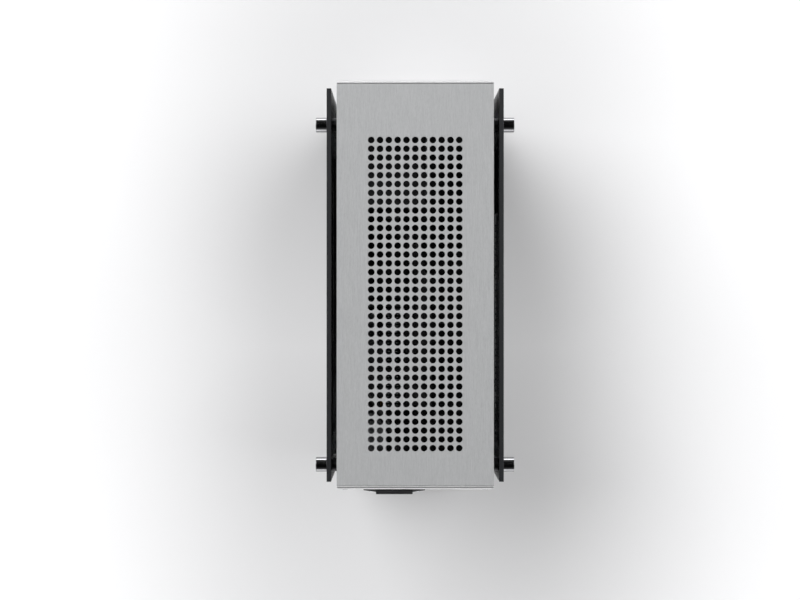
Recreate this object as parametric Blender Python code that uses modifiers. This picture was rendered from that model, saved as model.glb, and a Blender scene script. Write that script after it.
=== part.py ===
"""Slim desktop computer tower: an aluminium body with a perforated top and two glass sides on standoffs.

Metres, +Z up. The front faces -Y and the rear +Y. The motherboard stands on the +X side of the inside.
The origin is on the floor, in the middle of the tower's outline. The mains inlet stands out of the rear,
so the body's own middle is a little in front of the origin. Every piece hangs from an empty placed there.
"""

import math

import bmesh
import bpy
from mathutils import Vector

# Driving dimensions
BODY_W = 0.136
BODY_D = 0.354
BODY_TOP = 0.281
FOOT_H = 0.011
GAP = 0.0003  # between pieces that touch on the real object

FRONT_T = 0.0025
REAR_T = 0.003
TOP_T = 0.0025
BOTTOM_T = 0.002

HOLE_PITCH = 0.00762
HOLE_R = 0.00275
HOLE_SIDES = 6
HOLE_COLUMNS = 11
HOLE_ROWS = 36
HOLE_FIELD_Y = 0.0079  # middle of the hole field

# Rows of narrow slots: x from, x to, first slot, pitch, count, slot width
REAR_VENT = (-0.054, -0.012, 0.088, 0.0085, 16, 0.0035)
BOTTOM_VENT = (-0.050, 0.030, -0.060, 0.012, 18, 0.0035)

FOOT_R = 0.013
FOOT_SOLE_R = 0.011
FOOT_TAPER_H = 0.004
FOOT_AT = (0.052, 0.150)

GLASS_T = 0.004
GLASS_GAP = 0.005  # from the body's side to the glass
GLASS_OVERHANG = 0.006  # how far the body stands past the glass on each edge
SCREW_Y = (-0.1407, 0.1574)
SCREW_DROP = 0.015  # from the glass's edge to the screw's axis
SCREW_HEAD_R = 0.0065
SCREW_HEAD_L = 0.0097
SCREW_SHANK_R = 0.002
NOSE_R = 0.00475
COLLAR_R = 0.006
BORE_FLOOR = 0.002  # metal left under a standoff's bore

FLANGE_W, FLANGE_H, FLANGE_T = 0.0545, 0.0216, 0.003
INLET_X = 0.0182
INLET_DROP = 0.021  # from the top of the body to the inlet's middle
INLET_PROUD = 0.0054
INLET_BODY = (0.028, 0.0205)
INLET_DEPTH = 0.027
INLET_RIM_W = 0.032
INLET_RECESS = (0.0244, 0.017, 0.0164)  # width, depth, height
INLET_PINS = ((-0.007, -0.002), (0.007, -0.002), (0.0, 0.002))
FLANGE_EDGE = 0.016  # half the length of the flange's upper and lower edges
FLANGE_WAIST = 0.6  # share of the half height where its sides bend

BOARD_FACE_X = 0.0454  # the motherboard's component side
BOARD_T = 0.0016
BOARD_SIZE = 0.170
BOARD_Y = 0.003  # its front edge
BOARD_Z = 0.054  # its lower edge
TRAY_X = 0.0532
TRAY_T = 0.0015
CPU_Y, CPU_Z = 0.067, 0.150
SOCKET_HALF = 0.022
SOCKET_H = 0.008
MEMORY_SLOT_H = 0.006
MEMORY_SLOT_Z = (0.077, 0.218)
MEMORY_Z = (0.081, 0.214)
MEMORY_Y = (0.008, 0.0165)
MEMORY_H = 0.030
MEMORY_T = 0.005
MAIN_PLUG_Y = (0.050, 0.102)
MAIN_PLUG_Z = (0.211, 0.221)
MAIN_PLUG_H = 0.012
GROMMETS = (-0.045, -0.030, 0.030, (0.080, 0.150, 0.215))  # y from, y to, height, lower edges

COOLER_SIDE = 0.092
COOLER_FAN_T = 0.025
FAN_BLADES = 7
HEATSINK_BASE = 0.004
FIN_COUNT = 20
FIN_T = 0.0012
FIN_TIP_X = 0.009
FAN_WEB = 0.003

CARD_Z = 0.062  # the graphics board's lower face
CARD_Y = (-0.075, 0.1717)
CARD_X = (-0.060, 0.034)
CARD_COOLER_T = 0.036
CARD_FAN_Y = (-0.016, 0.098)
CARD_FAN_R = 0.042
CARD_FAN_T = 0.012
CARD_BRACKET = (-0.060, 0.0250, 0.0445, 0.0665)  # x0, z0, x1, z1
CARD_PORT_X = (-0.050, -0.027, -0.004, 0.019)
CARD_PORT_W = 0.017
CARD_PORT_Z = (0.0345, 0.0395)
FAN_WELL = 0.016
FAN_CLEARANCE = 0.0015  # between blade tips and a well's wall

SUPPLY_LO = Vector((-0.0102, -0.170, 0.084))
SUPPLY_SIZE = Vector((0.063, 0.100, 0.125))
SUPPLY_FAN_R = 0.040
SUPPLY_FAN_T = 0.013
SUPPLY_WELL = 0.017
GUARD_RINGS = (0.0140, 0.0225, 0.0310)  # inner radius of each ring of slots
GUARD_SLOT_W = 0.0062
GUARD_TURN = math.radians(40)
GUARD_HALF_ANGLE = math.radians(38)
SHEET_T = 0.0015
DRIVE_T = 0.007

BUTTON_Z = 0.250
BUTTON_R = 0.007
BUTTON_TRAVEL = 0.0015
PORTS_Z = 0.226
PORT_W, PORT_H = 0.0132, 0.0058  # panel openings for the front sockets
PORT_X = (-0.0095, 0.0095)
SOCKET_W, SOCKET_TALL = 0.0125, 0.0051

SHIELD = (0.0023, 0.0608, 0.0462, 0.2192)  # x0, z0, x1, z1
SHIELD_Y = (0.1750, 0.1762)
SLOT_X = (-0.057, 0.040)
SLOT_Z = ((0.0275, 0.0405), (0.0455, 0.0585))
# Rear socket blocks: name, z0, z1, height off the board, and the sockets in it as (x0, x1, z0, z1)
REAR_BLOCKS = (
    ("network", 0.186, 0.203, 0.028, ((0.0190, 0.0310, 0.1885, 0.2005),)),
    ("data", 0.150, 0.168, 0.030,
     ((0.0175, 0.0226, 0.1527, 0.1653), (0.0310, 0.0361, 0.1527, 0.1653))),
    ("display", 0.108, 0.128, 0.014, ((0.0340, 0.0392, 0.1105, 0.1255),)),
)

LEAD_D = 0.007
MAIN_LEAD_D = 0.010

# Places that follow from them
HALF_W = BODY_W / 2
FRONT_Y = -BODY_D / 2
REAR_Y = BODY_D / 2
INNER_FRONT = FRONT_Y + FRONT_T
INNER_REAR = REAR_Y - REAR_T
INNER_TOP = BODY_TOP - TOP_T
INNER_BOTTOM = FOOT_H + BOTTOM_T
GLASS_X = HALF_W + GLASS_GAP
GLASS_LO_Z = FOOT_H + GLASS_OVERHANG
GLASS_HI_Z = BODY_TOP - GLASS_OVERHANG
SCREW_Z = (GLASS_LO_Z + SCREW_DROP, GLASS_HI_Z - SCREW_DROP)
POST_T = 0.006
POST_W = 0.014
RAIL_W = 0.0065
RAIL_H = 0.010
POST_X = HALF_W - GAP - POST_T
RAIL_X = POST_X - GAP - RAIL_W
INLET_Z = BODY_TOP - INLET_DROP
SUPPLY_HI = SUPPLY_LO + SUPPLY_SIZE

# A flat piece's own X and Y lie along these axes of the tower when its face looks along the key.
FACING = {"X": (math.pi / 2, 0, math.pi / 2), "Y": (math.pi / 2, 0, 0), "Z": (0, 0, 0)}
# Turns a piece made along +Z to point along the key.
ALONG = {
    "+X": (0, math.pi / 2, 0),
    "-X": (0, -math.pi / 2, 0),
    "-Y": (math.pi / 2, 0, 0),
    "+Z": (0, 0, 0),
    "-Z": (math.pi, 0, 0),
}


# Scene and materials

for old in list(bpy.data.objects):
    bpy.data.objects.remove(old)

tower = bpy.data.collections.new("desktop_computer_tower")
cutters = bpy.data.collections.new("cutters")
bpy.context.scene.collection.children.link(tower)
bpy.context.scene.collection.children.link(cutters)

body_middle = bpy.data.objects.new("body_middle", None)
body_middle.location = (0, -INLET_PROUD / 2, 0)
tower.objects.link(body_middle)


def material(name, colour, roughness, metallic=0.0, alpha=1.0):
    """Principled material; the colour is linear."""
    made = bpy.data.materials.new(name)
    made.use_nodes = True
    shader = made.node_tree.nodes["Principled BSDF"]
    shader.inputs["Base Color"].default_value = (*colour, 1)
    shader.inputs["Roughness"].default_value = roughness
    shader.inputs["Metallic"].default_value = metallic
    shader.inputs["Alpha"].default_value = alpha
    return made


ALUMINIUM = material("brushed_aluminium", (0.62, 0.62, 0.62), 0.35, 1.0)
BLACK_STEEL = material("black_steel", (0.03, 0.03, 0.032), 0.5, 0.6)
GLASS = material("tinted_glass", (0.02, 0.02, 0.022), 0.05, 0.0, 0.6)
BLACK_CHROME = material("black_chrome", (0.1, 0.1, 0.1), 0.12, 1.0)
STEEL = material("bright_steel", (0.6, 0.6, 0.6), 0.25, 1.0)
RUBBER = material("foot_rubber", (0.02, 0.02, 0.02), 0.85)
PLASTIC = material("black_plastic", (0.03, 0.03, 0.03), 0.5)
BOARD = material("circuit_board", (0.01, 0.015, 0.012), 0.45)
FINS = material("fin_aluminium", (0.5, 0.5, 0.5), 0.4, 1.0)
ROTOR = material("rotor_plastic", (0.05, 0.05, 0.055), 0.4)
CABLE = material("cable_sleeve", (0.015, 0.015, 0.015), 0.7)


# Makers


def add(name, mesh, mat, location=(0, 0, 0), rotation=(0, 0, 0), collection=tower):
    """A mesh as an object of the tower, hung from the body's middle."""
    made = bpy.data.objects.new(name, mesh)
    made.location = location
    made.rotation_euler = rotation
    made.parent = body_middle
    if mat and not mesh.materials:
        mesh.materials.append(mat)
    collection.objects.link(made)
    return made


def mesh_of(name, made):
    """Ends a bmesh and gives its mesh."""
    mesh = bpy.data.meshes.new(name)
    made.to_mesh(mesh)
    made.free()
    return mesh


def box(name, lo, hi, mat, collection=tower):
    """A block between two corners."""
    size = Vector(hi) - Vector(lo)
    made = bmesh.new()
    bmesh.ops.create_cube(made, size=1)
    bmesh.ops.scale(made, vec=size, verts=made.verts)
    return add(name, mesh_of(name, made), mat, (Vector(lo) + Vector(hi)) / 2, collection=collection)


def cylinder(name, centre, along, radius, length, mat, segments=24, collection=tower):
    """A round bar with its middle at centre."""
    made = bmesh.new()
    bmesh.ops.create_cone(
        made, cap_ends=True, segments=segments, radius1=radius, radius2=radius, depth=length
    )
    return add(name, mesh_of(name, made), mat, centre, ALONG[along], collection)


def rectangle(x0, y0, x1, y1, chamfer=0.0):
    """Corner points of a rectangle, with its corners cut off if chamfer is given."""
    if not chamfer:
        return [(x0, y0), (x1, y0), (x1, y1), (x0, y1)]
    c = chamfer
    return [
        (x0 + c, y0), (x1 - c, y0), (x1, y0 + c), (x1, y1 - c),
        (x1 - c, y1), (x0 + c, y1), (x0, y1 - c), (x0, y0 + c),
    ]


def circle(x, y, radius, segments=24):
    """Points of a circle."""
    steps = [math.tau * (i + 0.5) / segments for i in range(segments)]
    return [(x + radius * math.cos(a), y + radius * math.sin(a)) for a in steps]


def plate(name, outlines, facing, lo, hi, mat):
    """A flat piece from lo to hi along the axis it faces: its edge's outline, then its holes'."""
    curve = bpy.data.curves.new(name, "CURVE")
    curve.dimensions = "2D"
    curve.fill_mode = "BOTH"
    curve.extrude = (hi - lo) / 2
    for outline in outlines:
        spline = curve.splines.new("POLY")
        spline.points.add(len(outline) - 1)
        for point, (x, y) in zip(spline.points, outline):
            point.co = (x, y, 0, 1)
        spline.use_cyclic_u = True
    drawn = bpy.data.objects.new(name + "_outline", curve)
    tower.objects.link(drawn)
    graph = bpy.context.evaluated_depsgraph_get()
    mesh = bpy.data.meshes.new_from_object(drawn.evaluated_get(graph))
    bpy.data.objects.remove(drawn)
    welded = bmesh.new()
    welded.from_mesh(mesh)
    bmesh.ops.remove_doubles(welded, verts=welded.verts, dist=1e-7)
    middle = Vector([(lo + hi) / 2 if axis == facing else 0 for axis in "XYZ"])
    return add(name, mesh_of(name, welded), mat, middle, FACING[facing])


def turned(name, profile, location, along, mat, segments=20):
    """A round piece: profile gives (radius, height) from its top, down its outer side, to its bottom."""
    mesh = bpy.data.meshes.new(name)
    points = [(radius, 0, height) for radius, height in profile]
    mesh.from_pydata(points, [(i, i + 1) for i in range(len(points) - 1)], [])
    made = add(name, mesh, mat, location, ALONG[along])
    screw = made.modifiers.new("turn", "SCREW")
    screw.steps = segments
    screw.render_steps = segments
    screw.use_merge_vertices = True
    screw.merge_threshold = 0.00001
    screw.use_smooth_shade = True
    return made


def combine(target, operation, other):
    """Joins another shape to a piece, or cuts it away, and keeps the shape as a helper."""
    for owner in list(other.users_collection):
        owner.objects.unlink(other)
    cutters.objects.link(other)
    other.hide_render = True
    other.display_type = "WIRE"
    boolean = target.modifiers.new(other.name, "BOOLEAN")
    boolean.operation = operation
    boolean.solver = "EXACT"
    boolean.object = other


def smooth_route(points, spacing):
    """Points about a spacing apart on a smooth curve through the given ones."""
    way = [Vector(p) for p in points]
    way = [2 * way[0] - way[1], *way, 2 * way[-1] - way[-2]]
    route = []
    for before, start, end, after in zip(way, way[1:], way[2:], way[3:]):
        count = max(1, round((end - start).length / spacing))
        for i in range(count):
            t = i / count
            route.append(
                0.5 * (2 * start + (end - before) * t
                       + (2 * before - 5 * start + 4 * end - after) * t ** 2
                       + (3 * start - before - 3 * end + after) * t ** 3)
            )
    return [*route, way[-2]]


def cable(name, points, diameter):
    """A round lead along a smooth route."""
    route = smooth_route(points, 2 * diameter)
    curve = bpy.data.curves.new(name, "CURVE")
    curve.dimensions = "3D"
    curve.bevel_depth = diameter / 2
    curve.bevel_resolution = 2
    curve.use_fill_caps = True
    curve.materials.append(CABLE)
    spline = curve.splines.new("POLY")
    spline.points.add(len(route) - 1)
    for point, place in zip(spline.points, route):
        point.co = (*place, 1)
    made = bpy.data.objects.new(name, curve)
    made.parent = body_middle
    tower.objects.link(made)


def fan_rotor(name, centre, along, radius, depth):
    """A fan wheel that turns on its own Z: pitched blades grown out of the sides of its hub."""
    hub = radius * 0.43
    made = bmesh.new()
    bmesh.ops.create_cone(
        made, cap_ends=True, segments=3 * FAN_BLADES, radius1=hub, radius2=hub, depth=depth
    )
    sides = [face for face in made.faces if abs(face.normal.z) < 0.5]
    sides.sort(key=lambda face: math.atan2(face.normal.y, face.normal.x))
    sections = ((hub * 1.08, 38), (0.5 * (hub + radius), 48), (radius, 58))
    chord = depth * 1.15
    thickness = 0.0014
    for root in sides[::3]:
        out = root.normal.copy()
        across = Vector((0, 0, 1)).cross(out)
        corners = [
            (math.copysign(0.5, v.co.z), math.copysign(0.5, v.co.dot(across))) for v in root.verts
        ]
        face = root
        for r, pitch in sections:
            turn = math.radians(pitch)
            lean = across * math.sin(turn) + Vector((0, 0, math.cos(turn)))
            thick = across * math.cos(turn) - Vector((0, 0, math.sin(turn)))
            face = bmesh.ops.extrude_discrete_faces(made, faces=[face])["faces"][0]
            for vert, (along_chord, through) in zip(face.verts, corners):
                vert.co = out * r + lean * chord * along_chord + thick * thickness * through
    return add(name, mesh_of(name, made), ROTOR, centre, ALONG[along])


# Body panels


def hole_field():
    """The round vent holes of the top panel, as six-sided outlines."""
    x0 = -(HOLE_COLUMNS - 1) / 2 * HOLE_PITCH
    y0 = HOLE_FIELD_Y - (HOLE_ROWS - 1) / 2 * HOLE_PITCH
    return [
        circle(x0 + i * HOLE_PITCH, y0 + j * HOLE_PITCH, HOLE_R, HOLE_SIDES)
        for i in range(HOLE_COLUMNS)
        for j in range(HOLE_ROWS)
    ]


def vent_slots(x0, x1, start, pitch, count, height):
    """A ladder of narrow slots."""
    return [rectangle(x0, start + i * pitch, x1, start + i * pitch + height) for i in range(count)]


def make_panels():
    """Top, front, rear and bottom plates and the four feet."""
    top_edge = rectangle(-HALF_W, INNER_FRONT + GAP, HALF_W, INNER_REAR - GAP)
    plate("top_panel", [top_edge, *hole_field()], "Z", INNER_TOP, BODY_TOP, ALUMINIUM)

    face = rectangle(-HALF_W, FOOT_H, HALF_W, BODY_TOP)
    ports = [
        rectangle(x - PORT_W / 2, PORTS_Z - PORT_H / 2, x + PORT_W / 2, PORTS_Z + PORT_H / 2)
        for x in PORT_X
    ]
    button_hole = circle(0, BUTTON_Z, BUTTON_R + 0.0005)
    plate("front_panel", [face, *ports, button_hole], "Y", FRONT_Y, INNER_FRONT, ALUMINIUM)

    x0, z0, x1, z1 = SHIELD
    openings = [rectangle(x0 - GAP, z0 - GAP, x1 + GAP, z1 + GAP)]
    openings += [rectangle(SLOT_X[0], z[0], SLOT_X[1], z[1]) for z in SLOT_Z]
    inlet_w, inlet_h = INLET_BODY
    openings.append(
        rectangle(INLET_X - inlet_w / 2 - GAP, INLET_Z - inlet_h / 2 - GAP,
                  INLET_X + inlet_w / 2 + GAP, INLET_Z + inlet_h / 2 + GAP)
    )
    openings += vent_slots(*REAR_VENT)
    plate("rear_panel", [face, *openings], "Y", INNER_REAR, REAR_Y, ALUMINIUM)

    edge = rectangle(-HALF_W, INNER_FRONT + GAP, HALF_W, INNER_REAR - GAP)
    plate("bottom_panel", [edge, *vent_slots(*BOTTOM_VENT)], "Z", FOOT_H, INNER_BOTTOM, BLACK_STEEL)

    profile = [
        (0, FOOT_H - GAP), (FOOT_R, FOOT_H - GAP), (FOOT_R, FOOT_TAPER_H), (FOOT_SOLE_R, 0), (0, 0),
    ]
    foot_x, foot_y = FOOT_AT
    for depth, y in (("front", -foot_y), ("rear", foot_y)):
        for side, x in (("left", -foot_x), ("right", foot_x)):
            turned(f"foot_{depth}_{side}", profile, (x, y, 0), "+Z", RUBBER)


# Inner frame


def mirrored(x0, x1, side):
    """The lower and higher x of a piece on one side."""
    return (x0, x1) if side == "right" else (-x1, -x0)


def make_frame():
    """Corner posts, side rails and the motherboard's tray with its four spacers."""
    for side in ("left", "right"):
        x0, x1 = mirrored(POST_X, POST_X + POST_T, side)
        for depth, y in zip(("front", "rear"), SCREW_Y):
            box(f"post_{depth}_{side}", (x0, y - POST_W / 2, INNER_BOTTOM + GAP),
                (x1, y + POST_W / 2, INNER_TOP - GAP), BLACK_STEEL)
        x0, x1 = mirrored(RAIL_X, RAIL_X + RAIL_W, side)
        levels = (("bottom", INNER_BOTTOM + GAP), ("top", INNER_TOP - GAP - RAIL_H))
        for level, z in levels:
            box(f"rail_{level}_{side}", (x0, INNER_FRONT + GAP, z),
                (x1, INNER_REAR - GAP, z + RAIL_H), BLACK_STEEL)

    edge = rectangle(-0.062, INNER_BOTTOM + GAP, INNER_REAR - GAP, INNER_TOP - GAP)
    y0, y1, tall, levels = GROMMETS
    grommets = [rectangle(y0, z, y1, z + tall, 0.004) for z in levels]
    tray = plate("motherboard_tray", [edge, *grommets], "X", TRAY_X, TRAY_X + TRAY_T, BLACK_STEEL)
    post_x0 = BOARD_FACE_X + BOARD_T + GAP
    inset = 0.008
    for i, y in enumerate((BOARD_Y + inset, BOARD_Y + BOARD_SIZE - inset)):
        for j, z in enumerate((BOARD_Z + inset, BOARD_Z + BOARD_SIZE - inset)):
            post = cylinder(f"board_post_{i}{j}", ((post_x0 + TRAY_X + 0.0005) / 2, y, z), "+X",
                            0.003, TRAY_X + 0.0005 - post_x0, STEEL, 8)
            combine(tray, "UNION", post)


# Glass side panels with their screws and standoffs


def make_sides():
    """Both glass panels, and the standoff and thumbscrew at each corner of each."""
    shoulder = GLASS_GAP - GAP
    nose_end = GLASS_GAP + GLASS_T - GAP
    standoff = [
        (0, BORE_FLOOR), (SCREW_SHANK_R + 0.0003, BORE_FLOOR), (SCREW_SHANK_R + 0.0003, nose_end),
        (NOSE_R, nose_end), (NOSE_R, shoulder), (COLLAR_R, shoulder), (COLLAR_R, 0), (0, 0),
    ]
    head = GLASS_GAP + GLASS_T + GAP
    tip = BORE_FLOOR + GAP
    chamfer = 0.0008
    screw = [
        (0, head + SCREW_HEAD_L), (SCREW_HEAD_R - chamfer, head + SCREW_HEAD_L),
        (SCREW_HEAD_R, head + SCREW_HEAD_L - chamfer), (SCREW_HEAD_R, head),
        (SCREW_SHANK_R, head), (SCREW_SHANK_R, tip), (0, tip),
    ]
    for side, sign in (("left", -1), ("right", 1)):
        x0, x1 = mirrored(GLASS_X, GLASS_X + GLASS_T, side)
        edge = rectangle(FRONT_Y + GLASS_OVERHANG, GLASS_LO_Z, REAR_Y - GLASS_OVERHANG, GLASS_HI_Z)
        holes = [circle(y, z, NOSE_R + 0.0004, 16) for y in SCREW_Y for z in SCREW_Z]
        plate(f"glass_{side}", [edge, *holes], "X", x0, x1, GLASS)
        along = "+X" if sign > 0 else "-X"
        for depth, y in zip(("front", "rear"), SCREW_Y):
            for level, z in zip(("lower", "upper"), SCREW_Z):
                place = (sign * HALF_W, y, z)
                corner = f"{depth}_{level}_{side}"
                turned(f"standoff_{corner}", standoff, place, along, STEEL, 16)
                turned(f"thumbscrew_{corner}", screw, place, along, BLACK_CHROME, 16)


# Motherboard and what is on it


def on_board(name, y0, z0, y1, z1, height):
    """A block on the motherboard, reaching a little into it so that it joins."""
    root = BOARD_FACE_X + 0.0005
    return box(name, (BOARD_FACE_X - height, y0, z0), (root, y1, z1), None, cutters)


def make_motherboard():
    """The board with its sockets and heatsinks, and two memory modules."""
    y1, z1 = BOARD_Y + BOARD_SIZE, BOARD_Z + BOARD_SIZE
    board = box("motherboard", (BOARD_FACE_X, BOARD_Y, BOARD_Z),
                (BOARD_FACE_X + BOARD_T, y1, z1), BOARD)
    half = SOCKET_HALF
    parts = [
        on_board("cpu_socket", CPU_Y - half, CPU_Z - half, CPU_Y + half, CPU_Z + half, SOCKET_H),
        on_board("card_slot", 0.062, CARD_Z - 0.003, 0.151, CARD_Z + 0.0045, 0.011),
        on_board("main_power_socket", MAIN_PLUG_Y[0], MAIN_PLUG_Z[0], MAIN_PLUG_Y[1], MAIN_PLUG_Z[1],
                 MAIN_PLUG_H),
        on_board("regulator_heatsink", 0.126, 0.160, 0.150, 0.215, 0.020),
        on_board("chipset_heatsink", 0.024, 0.073, 0.058, 0.099, 0.009),
    ]
    parts += [
        on_board(f"memory_slot_{i}", y - 0.003, MEMORY_SLOT_Z[0], y + 0.003, MEMORY_SLOT_Z[1],
                 MEMORY_SLOT_H)
        for i, y in enumerate(MEMORY_Y)
    ]
    for part in parts:
        combine(board, "UNION", part)
    hi = BOARD_FACE_X - MEMORY_SLOT_H - GAP
    for i, y in enumerate(MEMORY_Y, 1):
        box(f"memory_module_{i}", (hi - MEMORY_H, y - MEMORY_T / 2, MEMORY_Z[0]),
            (hi, y + MEMORY_T / 2, MEMORY_Z[1]), PLASTIC)


def make_cooler():
    """The processor's heatsink, and the fan on its fins."""
    base_x = BOARD_FACE_X - SOCKET_H - GAP
    root_x = base_x - HEATSINK_BASE
    y0 = CPU_Y - COOLER_SIDE / 2
    pitch = (COOLER_SIDE - FIN_T) / (FIN_COUNT - 1)
    comb = [(base_x, y0), (base_x, y0 + COOLER_SIDE)]
    for i in reversed(range(FIN_COUNT)):
        low = y0 + i * pitch
        comb += [(root_x, low + FIN_T), (FIN_TIP_X, low + FIN_T), (FIN_TIP_X, low), (root_x, low)]
    # the outermost fins are flush with the base, so its own corners need no second point
    del comb[2], comb[-1]
    plate("cpu_heatsink", [comb], "Z", CPU_Z - COOLER_SIDE / 2, CPU_Z + COOLER_SIDE / 2, FINS)

    half = COOLER_SIDE / 2
    hi = FIN_TIP_X - GAP
    lo = hi - COOLER_FAN_T
    edge = rectangle(CPU_Y - half, CPU_Z - half, CPU_Y + half, CPU_Z + half, 0.005)
    duct = circle(CPU_Y, CPU_Z, half - 0.002, 28)
    frame = plate("cpu_fan_frame", [edge, duct], "X", lo, hi, PLASTIC)
    seat = cylinder("cpu_fan_motor_seat", (hi - FAN_WEB / 2, CPU_Y, CPU_Z), "+X",
                    0.019, FAN_WEB, None, 16, cutters)
    combine(frame, "UNION", seat)
    across = COOLER_SIDE - 0.002
    for i, (wide, tall) in enumerate(((across, 0.004), (0.004, across))):
        strut = box(f"cpu_fan_strut_{i}", (hi - FAN_WEB, CPU_Y - wide / 2, CPU_Z - tall / 2),
                    (hi, CPU_Y + wide / 2, CPU_Z + tall / 2), None, cutters)
        combine(frame, "UNION", strut)
    depth = COOLER_FAN_T - FAN_WEB - 0.003
    fan_rotor("cpu_fan_rotor", (lo + 0.0015 + depth / 2, CPU_Y, CPU_Z), "-X", half - 0.0035, depth)


# Graphics card


def make_graphics_card():
    """The card's board, its cooler with two fans, and its rear bracket."""
    top = CARD_Z + BOARD_T
    board = box("graphics_board", (CARD_X[0], CARD_Y[0], CARD_Z), (CARD_X[1], CARD_Y[1], top), BOARD)
    socket = box("card_power_socket", (-0.042, -0.056, top - 0.0005), (-0.018, -0.044, top + 0.010),
                 None, cutters)
    combine(board, "UNION", socket)
    z1 = CARD_Z - GAP
    z0 = z1 - CARD_COOLER_T
    shroud = box("graphics_cooler", (CARD_X[0], CARD_Y[0], z0),
                 (CARD_X[1] - 0.008, CARD_Y[1], z1), PLASTIC)
    mid_x = (CARD_X[0] + CARD_X[1] - 0.008) / 2
    for place, y in zip(("front", "rear"), CARD_FAN_Y):
        well = cylinder(f"card_fan_well_{place}", (mid_x, y, z0), "+Z",
                        CARD_FAN_R + FAN_CLEARANCE, 2 * FAN_WELL, None, 28, cutters)
        combine(shroud, "DIFFERENCE", well)
        middle = (mid_x, y, z0 + 0.001 + CARD_FAN_T / 2)
        fan_rotor(f"graphics_fan_rotor_{place}", middle, "-Z", CARD_FAN_R, CARD_FAN_T)
    face = rectangle(*CARD_BRACKET)
    low, high = CARD_PORT_Z
    ports = [rectangle(x, low, x + CARD_PORT_W, high) for x in CARD_PORT_X]
    inner = INNER_REAR - GAP
    plate("graphics_bracket", [face, *ports], "Y", inner - SHEET_T, inner, STEEL)


# Power supply, its shelf and the drive under it


def arc_slot(x, y, inner, outer, middle, half_angle, points=6):
    """Outline of a slot that follows a circle."""
    steps = [middle + half_angle * (2 * i / (points - 1) - 1) for i in range(points)]
    return [(x + outer * math.cos(a), y + outer * math.sin(a)) for a in steps] + [
        (x + inner * math.cos(a), y + inner * math.sin(a)) for a in reversed(steps)
    ]


def make_power_supply():
    """The power supply with its fan and guard, the shelf under it and the drive under that."""
    lo, hi = SUPPLY_LO, SUPPLY_HI
    y = (lo.y + hi.y) / 2
    z = (lo.z + hi.z) / 2
    case = box("power_supply_case", lo, hi, BLACK_STEEL)
    well = cylinder("supply_fan_well", (lo.x, y, z), "+X",
                    SUPPLY_FAN_R + FAN_CLEARANCE, 2 * SUPPLY_WELL, None, 28, cutters)
    combine(case, "DIFFERENCE", well)
    middle = (lo.x + 0.001 + SUPPLY_FAN_T / 2, y, z)
    fan_rotor("power_supply_fan_rotor", middle, "-X", SUPPLY_FAN_R, SUPPLY_FAN_T)

    half = SUPPLY_FAN_R + 0.004
    slots = [
        arc_slot(y, z, r, r + GUARD_SLOT_W, GUARD_TURN + quarter * math.pi / 2, GUARD_HALF_ANGLE)
        for r in GUARD_RINGS
        for quarter in range(4)
    ]
    edge = rectangle(y - half, z - half, y + half, z + half, 0.006)
    plate("power_supply_fan_guard", [edge, *slots], "X", lo.x - GAP - 0.001, lo.x - GAP, STEEL)

    shelf_hi = lo.z - GAP
    shelf_lo = shelf_hi - SHEET_T
    box("power_supply_shelf", (-0.050, INNER_FRONT + GAP, shelf_lo),
        (TRAY_X - GAP, hi.y + 0.004, shelf_hi), BLACK_STEEL)
    drive_hi = shelf_lo - GAP
    box("solid_state_drive", (-0.048, -0.166, drive_hi - DRIVE_T), (0.052, -0.096, drive_hi), FINS)


# Rear and front connections


def make_inlet():
    """The mains inlet: a pointed flange, a body through the rear panel, and three pins in its mouth."""
    w, h = FLANGE_W / 2, FLANGE_H / 2
    bend = h * FLANGE_WAIST
    waist = w - bend
    flange = [
        (INLET_X - w, INLET_Z), (INLET_X - waist, INLET_Z - bend), (INLET_X - FLANGE_EDGE, INLET_Z - h),
        (INLET_X + FLANGE_EDGE, INLET_Z - h), (INLET_X + waist, INLET_Z - bend), (INLET_X + w, INLET_Z),
        (INLET_X + waist, INLET_Z + bend), (INLET_X + FLANGE_EDGE, INLET_Z + h),
        (INLET_X - FLANGE_EDGE, INLET_Z + h), (INLET_X - waist, INLET_Z + bend),
    ]
    inlet = plate("mains_inlet", [flange], "Y", REAR_Y + GAP, REAR_Y + GAP + FLANGE_T, PLASTIC)
    bw, bh = INLET_BODY[0] / 2, INLET_BODY[1] / 2
    mouth = REAR_Y + INLET_PROUD
    root = REAR_Y + 0.001
    body = box("inlet_body", (INLET_X - bw, mouth - INLET_DEPTH, INLET_Z - bh),
               (INLET_X + bw, root, INLET_Z + bh), None, cutters)
    combine(inlet, "UNION", body)
    rim = box("inlet_rim", (INLET_X - INLET_RIM_W / 2, root, INLET_Z - bh),
              (INLET_X + INLET_RIM_W / 2, mouth, INLET_Z + bh), None, cutters)
    combine(inlet, "UNION", rim)
    wide, deep, tall = INLET_RECESS
    recess = box("inlet_recess", (INLET_X - wide / 2, mouth - deep, INLET_Z - tall / 2),
                 (INLET_X + wide / 2, mouth + 0.002, INLET_Z + tall / 2), None, cutters)
    combine(inlet, "DIFFERENCE", recess)
    for i, (dx, dz) in enumerate(INLET_PINS):
        x, z = INLET_X + dx, INLET_Z + dz
        pin = box(f"inlet_pin_{i}", (x - 0.001, mouth - deep - 0.0015, z - 0.002),
                  (x + 0.001, mouth - 0.003, z + 0.002), None, cutters)
        combine(inlet, "UNION", pin)


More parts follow.
